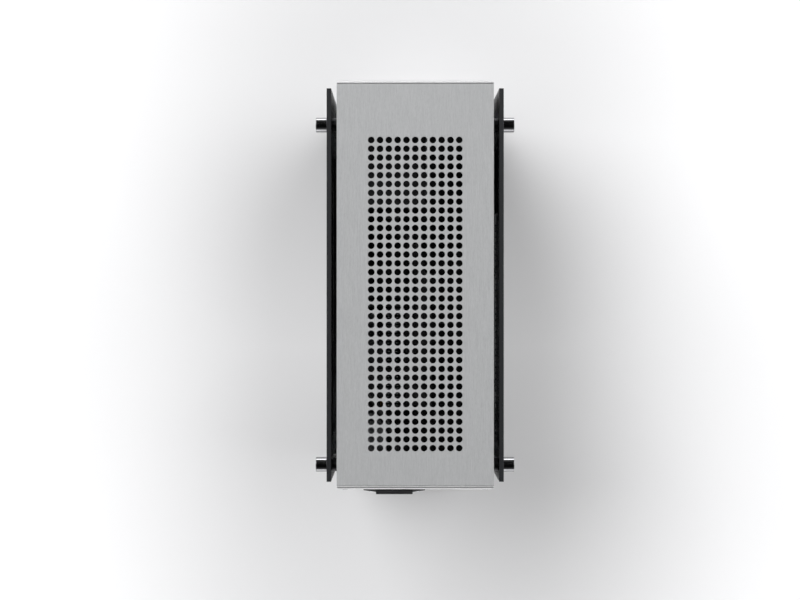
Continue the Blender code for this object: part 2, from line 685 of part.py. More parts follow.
def make_rear_ports():
    """The port shield and the board's rear sockets, made as one block."""
    clear = 0.0004
    board_side = BOARD_FACE_X - GAP
    apertures = [
        rectangle(BOARD_FACE_X - height - clear, low - clear, board_side + clear, high + clear)
        for _, low, high, height, _ in REAR_BLOCKS
    ]
    plate("io_shield", [rectangle(*SHIELD), *apertures], "Y", *SHIELD_Y, STEEL)

    root = box("rear_ports", (board_side - 0.004, 0.155, 0.100), (board_side, 0.1735, 0.208), PLASTIC)
    for name, low, high, height, sockets in REAR_BLOCKS:
        block = box(f"{name}_block", (BOARD_FACE_X - height, 0.1555, low),
                    (board_side, 0.1768, high), None, cutters)
        combine(root, "UNION", block)
        for i, (x0, x1, z0, z1) in enumerate(sockets):
            hollow = box(f"{name}_socket_{i}", (x0, 0.1625, z0), (x1, 0.179, z1), None, cutters)
            combine(root, "DIFFERENCE", hollow)


def make_front_controls():
    """The front sockets, the power button and the switch behind it."""
    back = INNER_FRONT
    ports = box("front_ports", (-0.020, back + GAP, PORTS_Z - 0.0075),
                (0.020, back + 0.020, PORTS_Z + 0.0075), PLASTIC)
    half_w, half_h = SOCKET_W / 2, SOCKET_TALL / 2
    for i, x in enumerate(PORT_X):
        hollow = box(f"front_socket_{i}", (x - half_w, back - 0.001, PORTS_Z - half_h),
                     (x + half_w, back + 0.014, PORTS_Z + half_h), None, cutters)
        combine(ports, "DIFFERENCE", hollow)
    flange_front = FRONT_T + GAP
    flange_back = flange_front + 0.002
    cap = [
        (0, 0), (BUTTON_R - 0.0006, 0), (BUTTON_R, -0.0006), (BUTTON_R, -flange_front),
        (0.009, -flange_front), (0.009, -flange_back), (0, -flange_back),
    ]
    turned("power_button", cap, (0, FRONT_Y, BUTTON_Z), "-Y", STEEL, 24)
    switch_y = FRONT_Y + flange_back + BUTTON_TRAVEL + 2 * GAP
    half = 0.009
    box("power_switch", (-half, switch_y, BUTTON_Z - half), (half, switch_y + 0.010, BUTTON_Z + half),
        PLASTIC)


# Leads inside, each held at both ends


def make_leads():
    """The mains lead, and the power supply's leads to the motherboard and the graphics card."""
    clear = 2 * GAP  # a lead's end is a flat cut that may tilt a little
    inlet_back = REAR_Y + INLET_PROUD - INLET_DEPTH - clear
    cable("mains_lead", [
        (INLET_X, inlet_back, INLET_Z), (INLET_X, 0.138, INLET_Z), (0.026, 0.118, 0.262),
        (0.040, 0.098, 0.263), (0.046, 0.076, 0.264), (0.047, 0.030, 0.264), (0.047, -0.040, 0.264),
        (0.046, -0.085, 0.258), (0.045, -0.112, 0.242), (0.044, -0.120, 0.225),
        (0.044, -0.120, SUPPLY_HI.z + clear),
    ], LEAD_D)
    plug_x = BOARD_FACE_X - MAIN_PLUG_H - clear
    cable("main_power_cable", [
        (plug_x, 0.076, 0.216), (0.022, 0.076, 0.216), (0.006, 0.069, 0.219), (-0.003, 0.045, 0.224),
        (-0.006, 0.010, 0.224), (-0.003, -0.025, 0.213), (0.008, -0.046, 0.196), (0.018, -0.056, 0.188),
        (0.020, -0.062, 0.187), (0.020, SUPPLY_HI.y + clear, 0.187),
    ], MAIN_LEAD_D)
    card_top = CARD_Z + BOARD_T + 0.010 + clear
    cable("graphics_power_cable", [
        (-0.030, -0.050, card_top), (-0.030, -0.050, 0.086), (-0.028, -0.046, 0.102),
        (-0.018, -0.042, 0.116), (-0.004, -0.046, 0.124), (0.003, -0.056, 0.126),
        (0.004, -0.062, 0.126), (0.004, SUPPLY_HI.y + clear, 0.126),
    ], LEAD_D)


make_panels()
make_frame()
make_sides()
make_motherboard()
make_cooler()
make_graphics_card()
make_power_supply()
make_inlet()
make_rear_ports()
make_front_controls()
make_leads()
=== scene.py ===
"""Looks of a slim desktop computer tower with a perforated aluminium top and two tinted glass sides.

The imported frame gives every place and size. Each class below builds one sub-assembly around it: its finer
meshes, the nodes they stand for and the bodies they ride on. Lengths are in metres unless a name ends in _mm.
"""

from __future__ import annotations

import logging
import math
from dataclasses import dataclass
from enum import Enum
from typing import Iterable, Sequence

import bmesh
import bpy
from mathutils import Matrix, Vector

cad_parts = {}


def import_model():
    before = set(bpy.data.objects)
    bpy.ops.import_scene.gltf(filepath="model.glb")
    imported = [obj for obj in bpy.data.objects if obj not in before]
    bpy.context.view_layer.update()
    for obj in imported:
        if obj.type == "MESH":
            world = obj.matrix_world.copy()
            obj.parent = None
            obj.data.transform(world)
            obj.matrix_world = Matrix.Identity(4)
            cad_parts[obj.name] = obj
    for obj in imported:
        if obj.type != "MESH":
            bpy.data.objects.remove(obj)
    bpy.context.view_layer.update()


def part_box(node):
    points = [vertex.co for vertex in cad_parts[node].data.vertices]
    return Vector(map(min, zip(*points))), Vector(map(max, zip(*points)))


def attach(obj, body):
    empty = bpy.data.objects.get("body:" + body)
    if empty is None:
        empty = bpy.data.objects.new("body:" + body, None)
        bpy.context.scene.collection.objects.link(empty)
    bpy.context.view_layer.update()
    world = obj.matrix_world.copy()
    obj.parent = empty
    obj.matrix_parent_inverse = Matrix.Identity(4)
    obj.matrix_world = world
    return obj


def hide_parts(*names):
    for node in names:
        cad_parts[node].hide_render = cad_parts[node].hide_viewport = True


Shape = bmesh.types.BMesh
Node = bpy.types.Node
Socket = bpy.types.NodeSocket
Tree = bpy.types.NodeTree

LOG = logging.getLogger("tower")
MM = 0.001
CASE = "case"
TOUCH = 1e-5  # distance under which two places count as one
NOISE_LOW, NOISE_HIGH = 0.3, 0.7  # between these lie nearly all of a noise's values


class Axis(Enum):
    """The axis a turned piece points along or a pattern runs along."""

    X = (1.0, 0.0, 0.0)
    NEG_X = (-1.0, 0.0, 0.0)
    NEG_Y = (0.0, -1.0, 0.0)
    Y = (0.0, 1.0, 0.0)
    Z = (0.0, 0.0, 1.0)
    NEG_Z = (0.0, 0.0, -1.0)

    def turn(self) -> Matrix:
        """The rotation that takes +Z to this axis."""
        return Vector(self.value).to_track_quat("Z", "Y").to_matrix().to_4x4()


# Nodes and colours -----------------------------------------------------------------------------


def linear(hex_colour: str) -> tuple[float, float, float, float]:
    """Turns an sRGB hex colour into the linear values that sockets take.

    Args:
        hex_colour: six hex digits, such as "a1a2a4".

    Returns:
        Linear red, green, blue and an alpha of one.
    """
    values = [int(hex_colour[i : i + 2], 16) / 255 for i in (0, 2, 4)]
    red, green, blue = (
        v / 12.92 if v <= 0.04045 else ((v + 0.055) / 1.055) ** 2.4 for v in values
    )
    return (red, green, blue, 1.0)


def add_node(tree: Tree, kind: str, sockets: dict | None = None, **settings: object) -> Node:
    """Adds a node with its settings, values and links.

    Args:
        tree: the tree that gets the node.
        kind: the node's type name.
        sockets: input name or index to a value, or to the output socket that feeds it.
        **settings: the node's own properties.

    Returns:
        The new node.
    """
    made = tree.nodes.new(kind)
    for name, value in settings.items():
        setattr(made, name, value)
    for key, value in (sockets or {}).items():
        if isinstance(value, Socket):
            tree.links.new(value, made.inputs[key])
        else:
            made.inputs[key].default_value = value
    return made


# Finishes --------------------------------------------------------------------------------------


@dataclass(frozen=True)
class Surface:
    """What a pattern is drawn with: a material's tree, its shader and its object coordinates."""

    tree: Tree
    shader: Node
    place: Socket

    def add(self, kind: str, sockets: dict | None = None, **settings: object) -> Socket:
        """Adds a node and returns its first output."""
        return add_node(self.tree, kind, sockets, **settings).outputs[0]

    def feed(self, name: str, output: Socket) -> None:
        """Links an output to one of the shader's sockets."""
        self.tree.links.new(output, self.shader.inputs[name])

    def stretched(self, size_mm: Sequence[float], detail: float = 3.0) -> Socket:
        """A noise whose features have the given size along each axis.

        Args:
            size_mm: feature length along X, Y and Z in millimetres.
            detail: octaves of the noise.

        Returns:
            The noise's factor output.
        """
        scale = tuple(1.0 / (s * MM) for s in size_mm)
        mapped = self.add(
            "ShaderNodeMapping", {"Vector": self.place, "Scale": scale}, vector_type="POINT"
        )
        return self.add(
            "ShaderNodeTexNoise",
            {"Vector": mapped, "Scale": 1.0, "Detail": detail, "Roughness": 0.6},
        )

    def bump(self, height: Socket, depth_mm: float, strength: float) -> None:
        """Raises the surface by depth_mm where height is one."""
        raised = {"Height": height, "Distance": depth_mm * MM, "Strength": strength}
        self.feed("Normal", self.add("ShaderNodeBump", raised))


@dataclass(frozen=True)
class Finish:
    """A material: its common name, colour and shader values, and the pattern of its subclass."""

    name: str
    slot: str
    colour: str
    roughness: float
    metallic: float = 0.0
    specular: float = 0.5

    def material(self) -> bpy.types.Material:
        """Returns the material, made the first time it is asked for."""
        found = bpy.data.materials.get(self.name)
        if found:
            return found
        made = bpy.data.materials.new(self.name)
        made.use_nodes = True
        tree = made.node_tree
        shader = tree.nodes["Principled BSDF"]
        for socket, value in (
            ("Base Color", linear(self.colour)),
            ("Roughness", self.roughness),
            ("Metallic", self.metallic),
            ("Specular IOR Level", self.specular),
        ):
            shader.inputs[socket].default_value = value
        place = add_node(tree, "ShaderNodeTexCoord").outputs["Object"]
        self.pattern(Surface(tree, shader, place))
        return made

    def pattern(self, on: Surface) -> None:
        """Draws the surface's detail; a plain finish gets faint handling marks."""
        self.vary(on, 6.0, 0.06, 0.05)

    def vary(self, on: Surface, size_mm: float, colour_swing: float, rough_swing: float) -> None:
        """Lets colour and roughness drift a little over the surface.

        Args:
            on: what it is drawn with.
            size_mm: size of the drift's patches.
            colour_swing: share by which the colour moves each way.
            rough_swing: how far the roughness moves each way.
        """
        noise = on.stretched((size_mm, size_mm, size_mm))
        self.tint(on, noise, colour_swing)
        self.roughen(on, noise, rough_swing)

    def tint(self, on: Surface, factor: Socket, swing: float) -> None:
        """Moves the base colour by a share of swing each way with factor.

        Args:
            on: what it is drawn with.
            factor: the noise or mask that drives it.
            swing: share of the colour.
        """
        ramp = add_node(on.tree, "ShaderNodeValToRGB", {"Fac": factor})
        ends = ((NOISE_LOW, 1 - swing), (NOISE_HIGH, 1 + swing))
        for element, (position, share) in zip(ramp.color_ramp.elements, ends):
            element.position = position
            element.color = (*(min(1.0, c * share) for c in linear(self.colour)[:3]), 1.0)
        on.feed("Base Color", ramp.outputs["Color"])

    def roughen(self, on: Surface, factor: Socket, swing: float) -> None:
        """Moves the roughness by swing each way with factor.

        Args:
            on: what it is drawn with.
            factor: the noise or mask that drives it.
            swing: how far it moves each way.
        """
        ends = {
            "From Min": NOISE_LOW,
            "From Max": NOISE_HIGH,
            "To Min": max(0.02, self.roughness - swing),
            "To Max": min(1.0, self.roughness + swing),
        }
        on.feed("Roughness", on.add("ShaderNodeMapRange", {"Value": factor, **ends}))


@dataclass(frozen=True)
class BrushedMetal(Finish):
    """Sheet drawn through an abrasive belt: fine scratches one way, which spread highlights."""

    grain: Axis = Axis.Y
    grain_mm: float = 0.45  # real grain is about 0.1 mm; drawn this coarse so that it shows
    run_mm: float = 9.0
    contrast: float = 0.13

    def pattern(self, on: Surface) -> None:
        """Two layers of scratches and a slow drift along the sheet.

        Args:
            on: what it is drawn with.
        """
        along = [abs(v) for v in self.grain.value]
        coarse = [self.run_mm * 2 if a else self.grain_mm * 2 for a in along]
        fine = [self.run_mm / 3 if a else self.grain_mm for a in along]
        wide = on.stretched(coarse, 4.0)
        thin = on.stretched(fine, 2.0)
        mixed = on.add("ShaderNodeMix", {"Factor": 0.5, "A": wide, "B": thin}, data_type="FLOAT")
        self.tint(on, mixed, self.contrast)
        self.roughen(on, mixed, 0.03)
        on.bump(thin, 0.004, 0.3)


@dataclass(frozen=True)
class CoatedSteel(Finish):
    """Powder-coated sheet: matt, with the fine orange-peel grain of the baked powder."""

    grain_mm: float = 0.6

    def pattern(self, on: Surface) -> None:
        """Grain over the slow drift."""
        self.vary(on, 25.0, 0.10, 0.06)
        on.bump(on.stretched((self.grain_mm,) * 3, 2.0), 0.05, 0.5)


@dataclass(frozen=True)
class MouldedPlastic(Finish):
    """Injection-moulded part with a spark-eroded texture."""

    grain_mm: float = 0.5

    def pattern(self, on: Surface) -> None:
        """Spark texture under a faint drift of gloss."""
        self.vary(on, 12.0, 0.08, 0.05)
        on.bump(on.stretched((self.grain_mm,) * 3, 2.0), 0.03, 0.4)


@dataclass(frozen=True)
class TurnedMetal(Finish):
    """Turned and polished metal: nearly a mirror, with faint rings left by the lathe."""

    ring_mm: float = 0.25
    smear_mm: float = 4.0

    def pattern(self, on: Surface) -> None:
        """Rings across X, which is the axis of every screw and standoff.

        Args:
            on: what it is drawn with.
        """
        rings = on.stretched((self.ring_mm, 40.0, 40.0), 1.0)
        smears = on.stretched((self.smear_mm,) * 3)
        self.tint(on, smears, 0.08)
        self.roughen(on, smears, 0.03)
        on.bump(rings, 0.0004, 0.3)


@dataclass(frozen=True)
class TintedGlass(Finish):
    """Dark tempered glass with ground edges and a black border printed round its inner face."""

    transmission: float = 0.95
    border: float = 0.014
    matt: float = 0.24  # roughness of the print and of the ground edges
    print_colour: str = "28292b"
    skin: float = 0.0003  # how near a face counts as on it

    def pattern(self, on: Surface) -> None:
        """Clear in the middle, matt and opaque where it is printed or ground.

        Args:
            on: what it is drawn with.
        """
        on.shader.inputs["IOR"].default_value = 1.52
        covered = self.covered(on)
        body = add_node(on.tree, "ShaderNodeValToRGB", {"Fac": covered})
        for element, colour in zip(body.color_ramp.elements, (self.colour, self.print_colour)):
            element.color = linear(colour)
        on.feed("Base Color", body.outputs["Color"])
        for name, clear, matt in (
            ("Transmission Weight", self.transmission, 0.0),
            ("Roughness", self.roughness, self.matt),
        ):
            ends = {"Value": covered, "To Min": clear, "To Max": matt}
            on.feed(name, on.add("ShaderNodeMapRange", ends))

    def covered(self, on: Surface) -> Socket:
        """One on the printed border and the ground edges, nought on the clear glass.

        Args:
            on: what it is drawn with.

        Returns:
            The mask.
        """
        lo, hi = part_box("glass_left")
        middle, half = (lo + hi) / 2, (hi - lo) / 2
        limits = (min(abs(lo.x), abs(hi.x)), half.y, half.z)
        place = on.place
        for operation, sockets in (
            ("SUBTRACT", {1: (0.0, middle.y, middle.z)}),
            ("ABSOLUTE", {}),
            ("SUBTRACT", {1: limits}),
        ):
            place = on.add("ShaderNodeVectorMath", {0: place, **sockets}, operation=operation)
        parts = add_node(on.tree, "ShaderNodeSeparateXYZ", {0: place}).outputs
        found = {"thick": parts["X"]}
        for name, operation, first, second in (
            ("rim", "MAXIMUM", parts["Y"], parts["Z"]),
            ("inner", "LESS_THAN", "thick", self.skin),
            ("border", "GREATER_THAN", "rim", -self.border),
            ("ground", "GREATER_THAN", "rim", -self.skin),
            ("printed", "MULTIPLY", "inner", "border"),
            ("covered", "MAXIMUM", "printed", "ground"),
        ):
            sockets = {k: found[v] if isinstance(v, str) else v for k, v in ((0, first), (1, second))}
            found[name] = on.add("ShaderNodeMath", sockets, operation=operation)
        return found["covered"]


@dataclass(frozen=True)
class SolderMask(Finish):
    """Glass-fibre board under black solder mask: satin, with copper tracks standing up under it."""

    cell_mm: float = 1.6 / 0.45

    def pattern(self, on: Surface) -> None:
        """Tracks as the edges of square cells, in a slightly lighter tone and raised.

        Args:
            on: what it is drawn with.
        """
        cells = on.add(
            "ShaderNodeTexVoronoi",
            {"Vector": on.place, "Scale": 1 / (self.cell_mm * MM), "Randomness": 0.9},
            feature="F1",
            distance="CHEBYCHEV",
        )
        tracks = on.add("ShaderNodeMath", {0: cells, 1: 0.25}, operation="PINGPONG")
        lines = on.add("ShaderNodeMapRange", {"Value": tracks, "From Min": 0.10, "From Max": 0.14})
        self.tint(on, lines, 0.45)
        self.roughen(on, lines, 0.06)
        on.bump(lines, 0.03, 0.6)


@dataclass(frozen=True)
class WovenSleeve(Finish):
    """Braided sleeve over a lead: a diamond weave of flat black threads."""

    thread_mm: float = 1.1

    def pattern(self, on: Surface) -> None:
        """Crossed bands, raised where a thread passes over.

        Args:
            on: what it is drawn with.
        """
        scale = 1.0 / (self.thread_mm * MM)
        waves = {
            i: add_node(
                on.tree,
                "ShaderNodeTexWave",
                {"Vector": on.place, "Scale": scale * 0.16},
                wave_type="BANDS",
                bands_direction=direction,
            ).outputs["Fac"]
            for i, direction in enumerate(("DIAGONAL", "Z"))
        }
        woven = on.add("ShaderNodeMath", waves, operation="MAXIMUM")
        self.tint(on, woven, 0.4)
        on.bump(woven, 0.25, 0.6)


# Brushed 6061 sheet, clear anodised: pale grey with a soft sheen across the grain. The top, front and rear are one
# aluminium in three tones of painted light and shade: the top is painted darker and duller than the two ends, and the
# rear lighter than the front.
TOP_METAL_PAINTED_SHADE = BrushedMetal("brushed_aluminium_top_painted_shade", "brushed_panel", "a8a9aa", 0.60, 0.4)
FRONT_METAL = BrushedMetal(
    "brushed_aluminium_front", "brushed_panel", "c9c9ca", 0.40, 1.0, grain=Axis.Z
)
REAR_METAL_PAINTED_LIGHT = BrushedMetal(
    "brushed_aluminium_rear_painted_light", "brushed_panel", "dcdcdd", 0.44, 1.0, grain=Axis.Z
)
# Steel sheet, black polyester powder coat: matt and nearly without highlights.
BLACK_STEEL = CoatedSteel("powder_coated_steel", "black_steel", "17181a", 0.55)
# Tempered soda-lime glass, grey-black tint: a dark mirror from outside.
GLASS = TintedGlass("tinted_tempered_glass", "tinted_glass", "505356", 0.03)
# Brass turned, polished and plated in black chrome: black between narrow white highlights.
BLACK_CHROME = TurnedMetal("black_chrome", "polished_screw", "9a9a9c", 0.10, 1.0)
# Turned steel on the spacers behind the glass, its colour darkened as painted shade for the narrow gap between glass
# and case: dim satin.
SPACER_STEEL_PAINTED_SHADE = TurnedMetal("spacer_steel_painted_shade", "bright_steel", "3a3a3c", 0.34, 1.0)
# Free-cutting steel, bright turned.
BRIGHT_STEEL = TurnedMetal("bright_turned_steel", "bright_steel", "c4c5c7", 0.18, 1.0)
# Aluminium with a fine lathe finish, on the button.
TURNED_ALUMINIUM = TurnedMetal("turned_aluminium", "bright_steel", "c9cacc", 0.28, 1.0)
# Nickel-plated spring steel sheet, as on port shields and card brackets.
PLATED_SHEET = BrushedMetal(
    "nickel_plated_sheet", "bright_steel", "b9babb", 0.32, 1.0, grain=Axis.Z, grain_mm=0.3, run_mm=25.0
)
# Rolled 1060 aluminium sheet, bare: cooling fins.
FINS = BrushedMetal(
    "rolled_aluminium_fins", "fin_aluminium", "b4b5b7", 0.34, 1.0, grain=Axis.Z, grain_mm=0.4, run_mm=30.0
)
# Moulded natural rubber: dull black with hardly any sheen.
RUBBER = MouldedPlastic("moulded_rubber", "foot_rubber", "141414", 0.85, specular=0.3)
# ABS and glass-filled nylon housings, spark-eroded; the shrouds are a little smoother and greyer.
PLASTIC = MouldedPlastic("black_abs", "black_plastic", "1b1b1d", 0.48)
SHROUD = MouldedPlastic("satin_black_shroud", "black_plastic", "26272a", 0.36, grain_mm=0.8)
# Extruded PVC jacket of a mains lead.
JACKET = MouldedPlastic("pvc_jacket", "cable_sleeve", "121213", 0.5)
# Fan blades in polished PBT.
FAN_PLASTIC = Finish("pbt_fan_blades", "fan_plastic", "222326", 0.28)
# Epoxy board under black solder mask.
BOARD = SolderMask("black_solder_mask", "circuit_board", "101413", 0.42)
# Braided polyester over the power leads.
SLEEVE = WovenSleeve("braided_sleeve", "cable_sleeve", "151517", 0.7)
# Hard gold plate on edge contacts: yellow and smooth.
GOLD = Finish("gold_plated_contact", "bright_steel", "d9a441", 0.25, 1.0)
# Moulded epoxy of chip packages: flat dark grey.
CHIP = Finish("moulded_chip_epoxy", "black_plastic", "1e1f21", 0.5)
# Drawn and nickel-plated metal: capacitor cans, heat pipes, guard wires and pins.
CAN = Finish("capacitor_can", "bright_steel", "a9abae", 0.3, 1.0)


# Meshes ----------------------------------------------------------------------------------------


def circle(radius: float, count: int) -> list[tuple[float, float]]:
    """Points evenly round a circle about the origin."""
    turns = [math.tau * i / count for i in range(count)]
    return [(radius * math.cos(a), radius * math.sin(a)) for a in turns]


def bridge(made: Shape, rings: Sequence[Sequence[bmesh.types.BMVert]]) -> None:
    """Joins closed rings of as many corners with faces, each ring to the next.

    Args:
        made: the shape it is added to.
        rings: the rings, from one end to the other.
    """
    for low, high in zip(rings, rings[1:]):
        for i in range(len(low)):
            j = (i + 1) % len(low)
            made.faces.new((low[i], low[j], high[j], high[i]))


def patch(made: Shape, corners: Iterable[Sequence[float]]) -> None:
    """Adds one face with corners of its own."""
    made.faces.new([made.verts.new(p) for p in corners])


def turned(place: Sequence[float], angle: float, axis: str) -> Matrix:
    """A turn of angle degrees about an axis, then a move to place."""
    return Matrix.Translation(place) @ Matrix.Rotation(math.radians(angle), 4, axis)


def level(edge: bmesh.types.BMEdge, axis: int, at: float) -> bool:
    """Whether both ends of an edge lie at one height along an axis."""
    return all(abs(v.co[axis] - at) < TOUCH for v in edge.verts)


def bar(width: float, depth: float, height: float) -> Shape:
    """A bar with lightly broken edges, centred on the origin.

    Args:
        width: size along X.
        depth: size along Y.
        height: size along Z.

    Returns:
        The closed shape.
    """
    made = bmesh.new()
    half = Vector((width, depth, height)) / 2
    block(made, -half, half, width * 0.2)
    return made


def cad_shape(name: str) -> Shape:
    """A copy of a frame node's mesh with its loose triangles joined.

    Args:
        name: the node.

    Returns:
        A new bmesh in the row frame.
    """
    made = bmesh.new()
    made.from_mesh(bpy.data.objects[name].data)
    bmesh.ops.remove_doubles(made, verts=made.verts, dist=1e-6)
    return made


def soften(made: Shape, width: float, segments: int = 2, angle: float = 40.0) -> None:
    """Rounds every edge sharper than angle, as deburring does.

    Args:
        made: the shape, changed in place.
        width: how far the rounding reaches from the edge.
        segments: rows of faces across it.
        angle: smallest angle in degrees between two faces that counts as an edge.
    """
    limit = math.radians(angle)
    sharp = [e for e in made.edges if e.is_manifold and e.calc_face_angle(0.0) > limit]
    bmesh.ops.bevel(
        made,
        geom=sharp,
        offset=width,
        offset_type="OFFSET",
        segments=segments,
        profile=0.5,
        affect="EDGES",
        clamp_overlap=True,
        miter_outer="ARC",
    )


def block(
    made: Shape, lo: Sequence[float], hi: Sequence[float], bevel: float = 0.0
) -> None:
    """Adds a box between two corners, with its edges rounded by bevel.

    Args:
        made: the shape it is added to.
        lo: its lowest corner.
        hi: its highest corner.
        bevel: rounding of its edges.
    """
    size = Vector(hi) - Vector(lo)
    part = bmesh.new()
    bmesh.ops.create_cube(part, size=1.0)
    bmesh.ops.scale(part, vec=size, verts=part.verts)
    bmesh.ops.translate(part, vec=(Vector(hi) + Vector(lo)) / 2, verts=part.verts)
    if bevel:
        soften(part, min(bevel, min(size) * 0.45))
    merge_in(made, part)


def merge_in(made: Shape, part: Shape) -> None:
    """Adds another shape's faces and frees it.

    Args:
        made: the shape it is added to.
        part: the other shape.
    """
    mesh = bpy.data.meshes.new("part")
    part.to_mesh(mesh)
    part.free()
    made.from_mesh(mesh)
    bpy.data.meshes.remove(mesh)


def lathe(
    made: Shape,
    profile: Sequence[tuple[float, float]],
    centre: Sequence[float],
    axis: Axis,
    segments: int = 48,
) -> None:
    """Adds a turned shape.

    Args:
        made: the shape it is added to.
        profile: (radius, height) points from one end on the axis to the other.
        centre: where height zero lies.
        axis: the way height grows.
        segments: sides round it.
    """
    part = bmesh.new()
    rings = [
        [part.verts.new((x, y, height)) for x, y in (circle(radius, segments) if radius > 1e-7 else [(0, 0)])]
        for radius, height in profile
    ]
    for low, high in zip(rings, rings[1:]):
        for i in range(segments):
            j = (i + 1) % segments
            turn = (low[i % len(low)], low[j % len(low)], high[j % len(high)], high[i % len(high)])
            corners = list(dict.fromkeys(turn))
            if len(corners) > 2:
                part.faces.new(corners)
    bmesh.ops.recalc_face_normals(part, faces=part.faces)
    part.transform(Matrix.Translation(Vector(centre)) @ axis.turn())
    merge_in(made, part)


def rounded(
    profile: Sequence[tuple[float, float]], radius: float, steps: int = 3
) -> list[tuple[float, float]]:
    """Rounds the inner corners of a lathe profile.

    Args:
        profile: (radius, height) points.
        radius: how far each rounding reaches along its two sides.
        steps: points laid along each rounding, less one.

    Returns:
        The new profile.
    """
    points = [Vector(p) for p in profile]
    out: list[tuple[float, float]] = [tuple(points[0])]
    for before, corner, after in zip(points, points[1:], points[2:]):
        reach = min(radius, 0.45 * (corner - before).length, 0.45 * (after - corner).length)
        start = corner + (before - corner).normalized() * reach
        end = corner + (after - corner).normalized() * reach
        for i in range(steps + 1):
            t = i / steps
            out.append(tuple((1 - t) ** 2 * start + 2 * t * (1 - t) * corner + t * t * end))
    out.append(tuple(points[-1]))
    return out


def tube(
    made: Shape,
    path: Sequence[Sequence[float]],
    radius: float,
    sides: int = 10,
    beside: tuple[float, float] = (0.0, 0.0),
) -> None:
    """Adds a round tube with closed ends along a path, its sections turned as little as possible.

    Args:
        made: the shape it is added to.
        path: the points of its centreline.
        radius: its radius.
        sides: sides round it.
        beside: how far it runs beside the path, across it and up from it.
    """
    points = [Vector(p) for p in path]
    part = bmesh.new()
    up = Vector((0.31, 0.17, 0.93))  # along no straight run of any path
    rings = []
    for i, point in enumerate(points):
        way = (points[min(i + 1, len(points) - 1)] - points[max(i - 1, 0)]).normalized()
        side = way.cross(up).normalized()
        up = side.cross(way).normalized()
        rings.append(
            [
                part.verts.new(point + (beside[0] + x) * side + (beside[1] + y) * up)
                for x, y in circle(radius, sides)
            ]
        )
    bridge(part, rings)
    part.faces.new(rings[0])
    part.faces.new(rings[-1])
    bmesh.ops.recalc_face_normals(part, faces=part.faces)
    merge_in(made, part)


def smooth_route(points: Sequence[Sequence[float]], count: int) -> list[Vector]:
    """Points on a smooth curve through the given ones, count of them between each two.

    Args:
        points: the points it passes through.
        count: points laid between each two.

    Returns:
        The points of the curve.
    """
    way = [Vector(p) for p in points]
    way = [2 * way[0] - way[1], *way, 2 * way[-1] - way[-2]]
    route = []
    for before, start, end, after in zip(way, way[1:], way[2:], way[3:]):
        for i in range(count):
            t = i / count
            route.append(
                0.5
                * (
                    2 * start
                    + (end - before) * t
                    + (2 * before - 5 * start + 4 * end - after) * t**2
                    + (3 * start - before - 3 * end + after) * t**3
                )
            )
    return [*route, way[-2]]


def screw_head(radius: float, height: float) -> Shape:
    """A low domed screw head on the plane z = 0, with a hexagon recess.

    Args:
        radius: the head's radius.
        height: how far it stands up.

    Returns:
        The closed shape.
    """
    made = bmesh.new()
    key = radius * 0.45
    lathe(
        made,
        [
            (0, height * 0.3), (key, height * 0.3), (key, height), (radius * 0.8, height * 0.85),
            (radius, height * 0.3), (radius, -height * 0.4), (0, -height * 0.4),
        ],
        (0, 0, 0),
        Axis.Z,
        18,
    )
    return made


def piece(
    name: str,
    made: Shape,
    finish: Finish,
    body: str = CASE,
    stands_for: Sequence[str] = (),
    angle: float = 35.0,
) -> None:
    """Ends a shape as a finished piece of the tower.

    Args:
        name: the piece's name.
        made: its shape, freed here.
        finish: its finish.
        body: the body it rides on.
        stands_for: the frame nodes it replaces.
        angle: edges sharper than this in degrees stay sharp in shading.
    """
    mesh = bpy.data.meshes.new(name)
    made.to_mesh(mesh)
    made.free()
    mesh.materials.append(finish.material())
    mesh.shade_smooth()
    mesh.set_sharp_from_angle(angle=math.radians(angle))
    owner = bpy.data.objects.new(name, mesh)
    bpy.context.scene.collection.objects.link(owner)
    flatten_shading(owner)
    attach(owner, body)
    if stands_for:
        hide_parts(*stands_for)
    LOG.info("%s: %d faces on %s", name, len(owner.data.polygons), body)


def flatten_shading(owner: bpy.types.Object) -> None:
    """Weights the object's normals by face area, so that flat faces stay flat beside rounded edges.

    Args:
        owner: the object, whose mesh is exchanged.
    """
    weighted = owner.modifiers.new("weighted", "WEIGHTED_NORMAL")
    weighted.mode = "FACE_AREA"
    weighted.weight = 100
    weighted.keep_sharp = True
    graph = bpy.context.evaluated_depsgraph_get()
    rough = owner.data
    name = rough.name
    finished = bpy.data.meshes.new_from_object(owner.evaluated_get(graph))
    owner.modifiers.remove(weighted)
    owner.data = finished
    bpy.data.meshes.remove(rough)
    finished.name = name


# Geometry Nodes --------------------------------------------------------------------------------


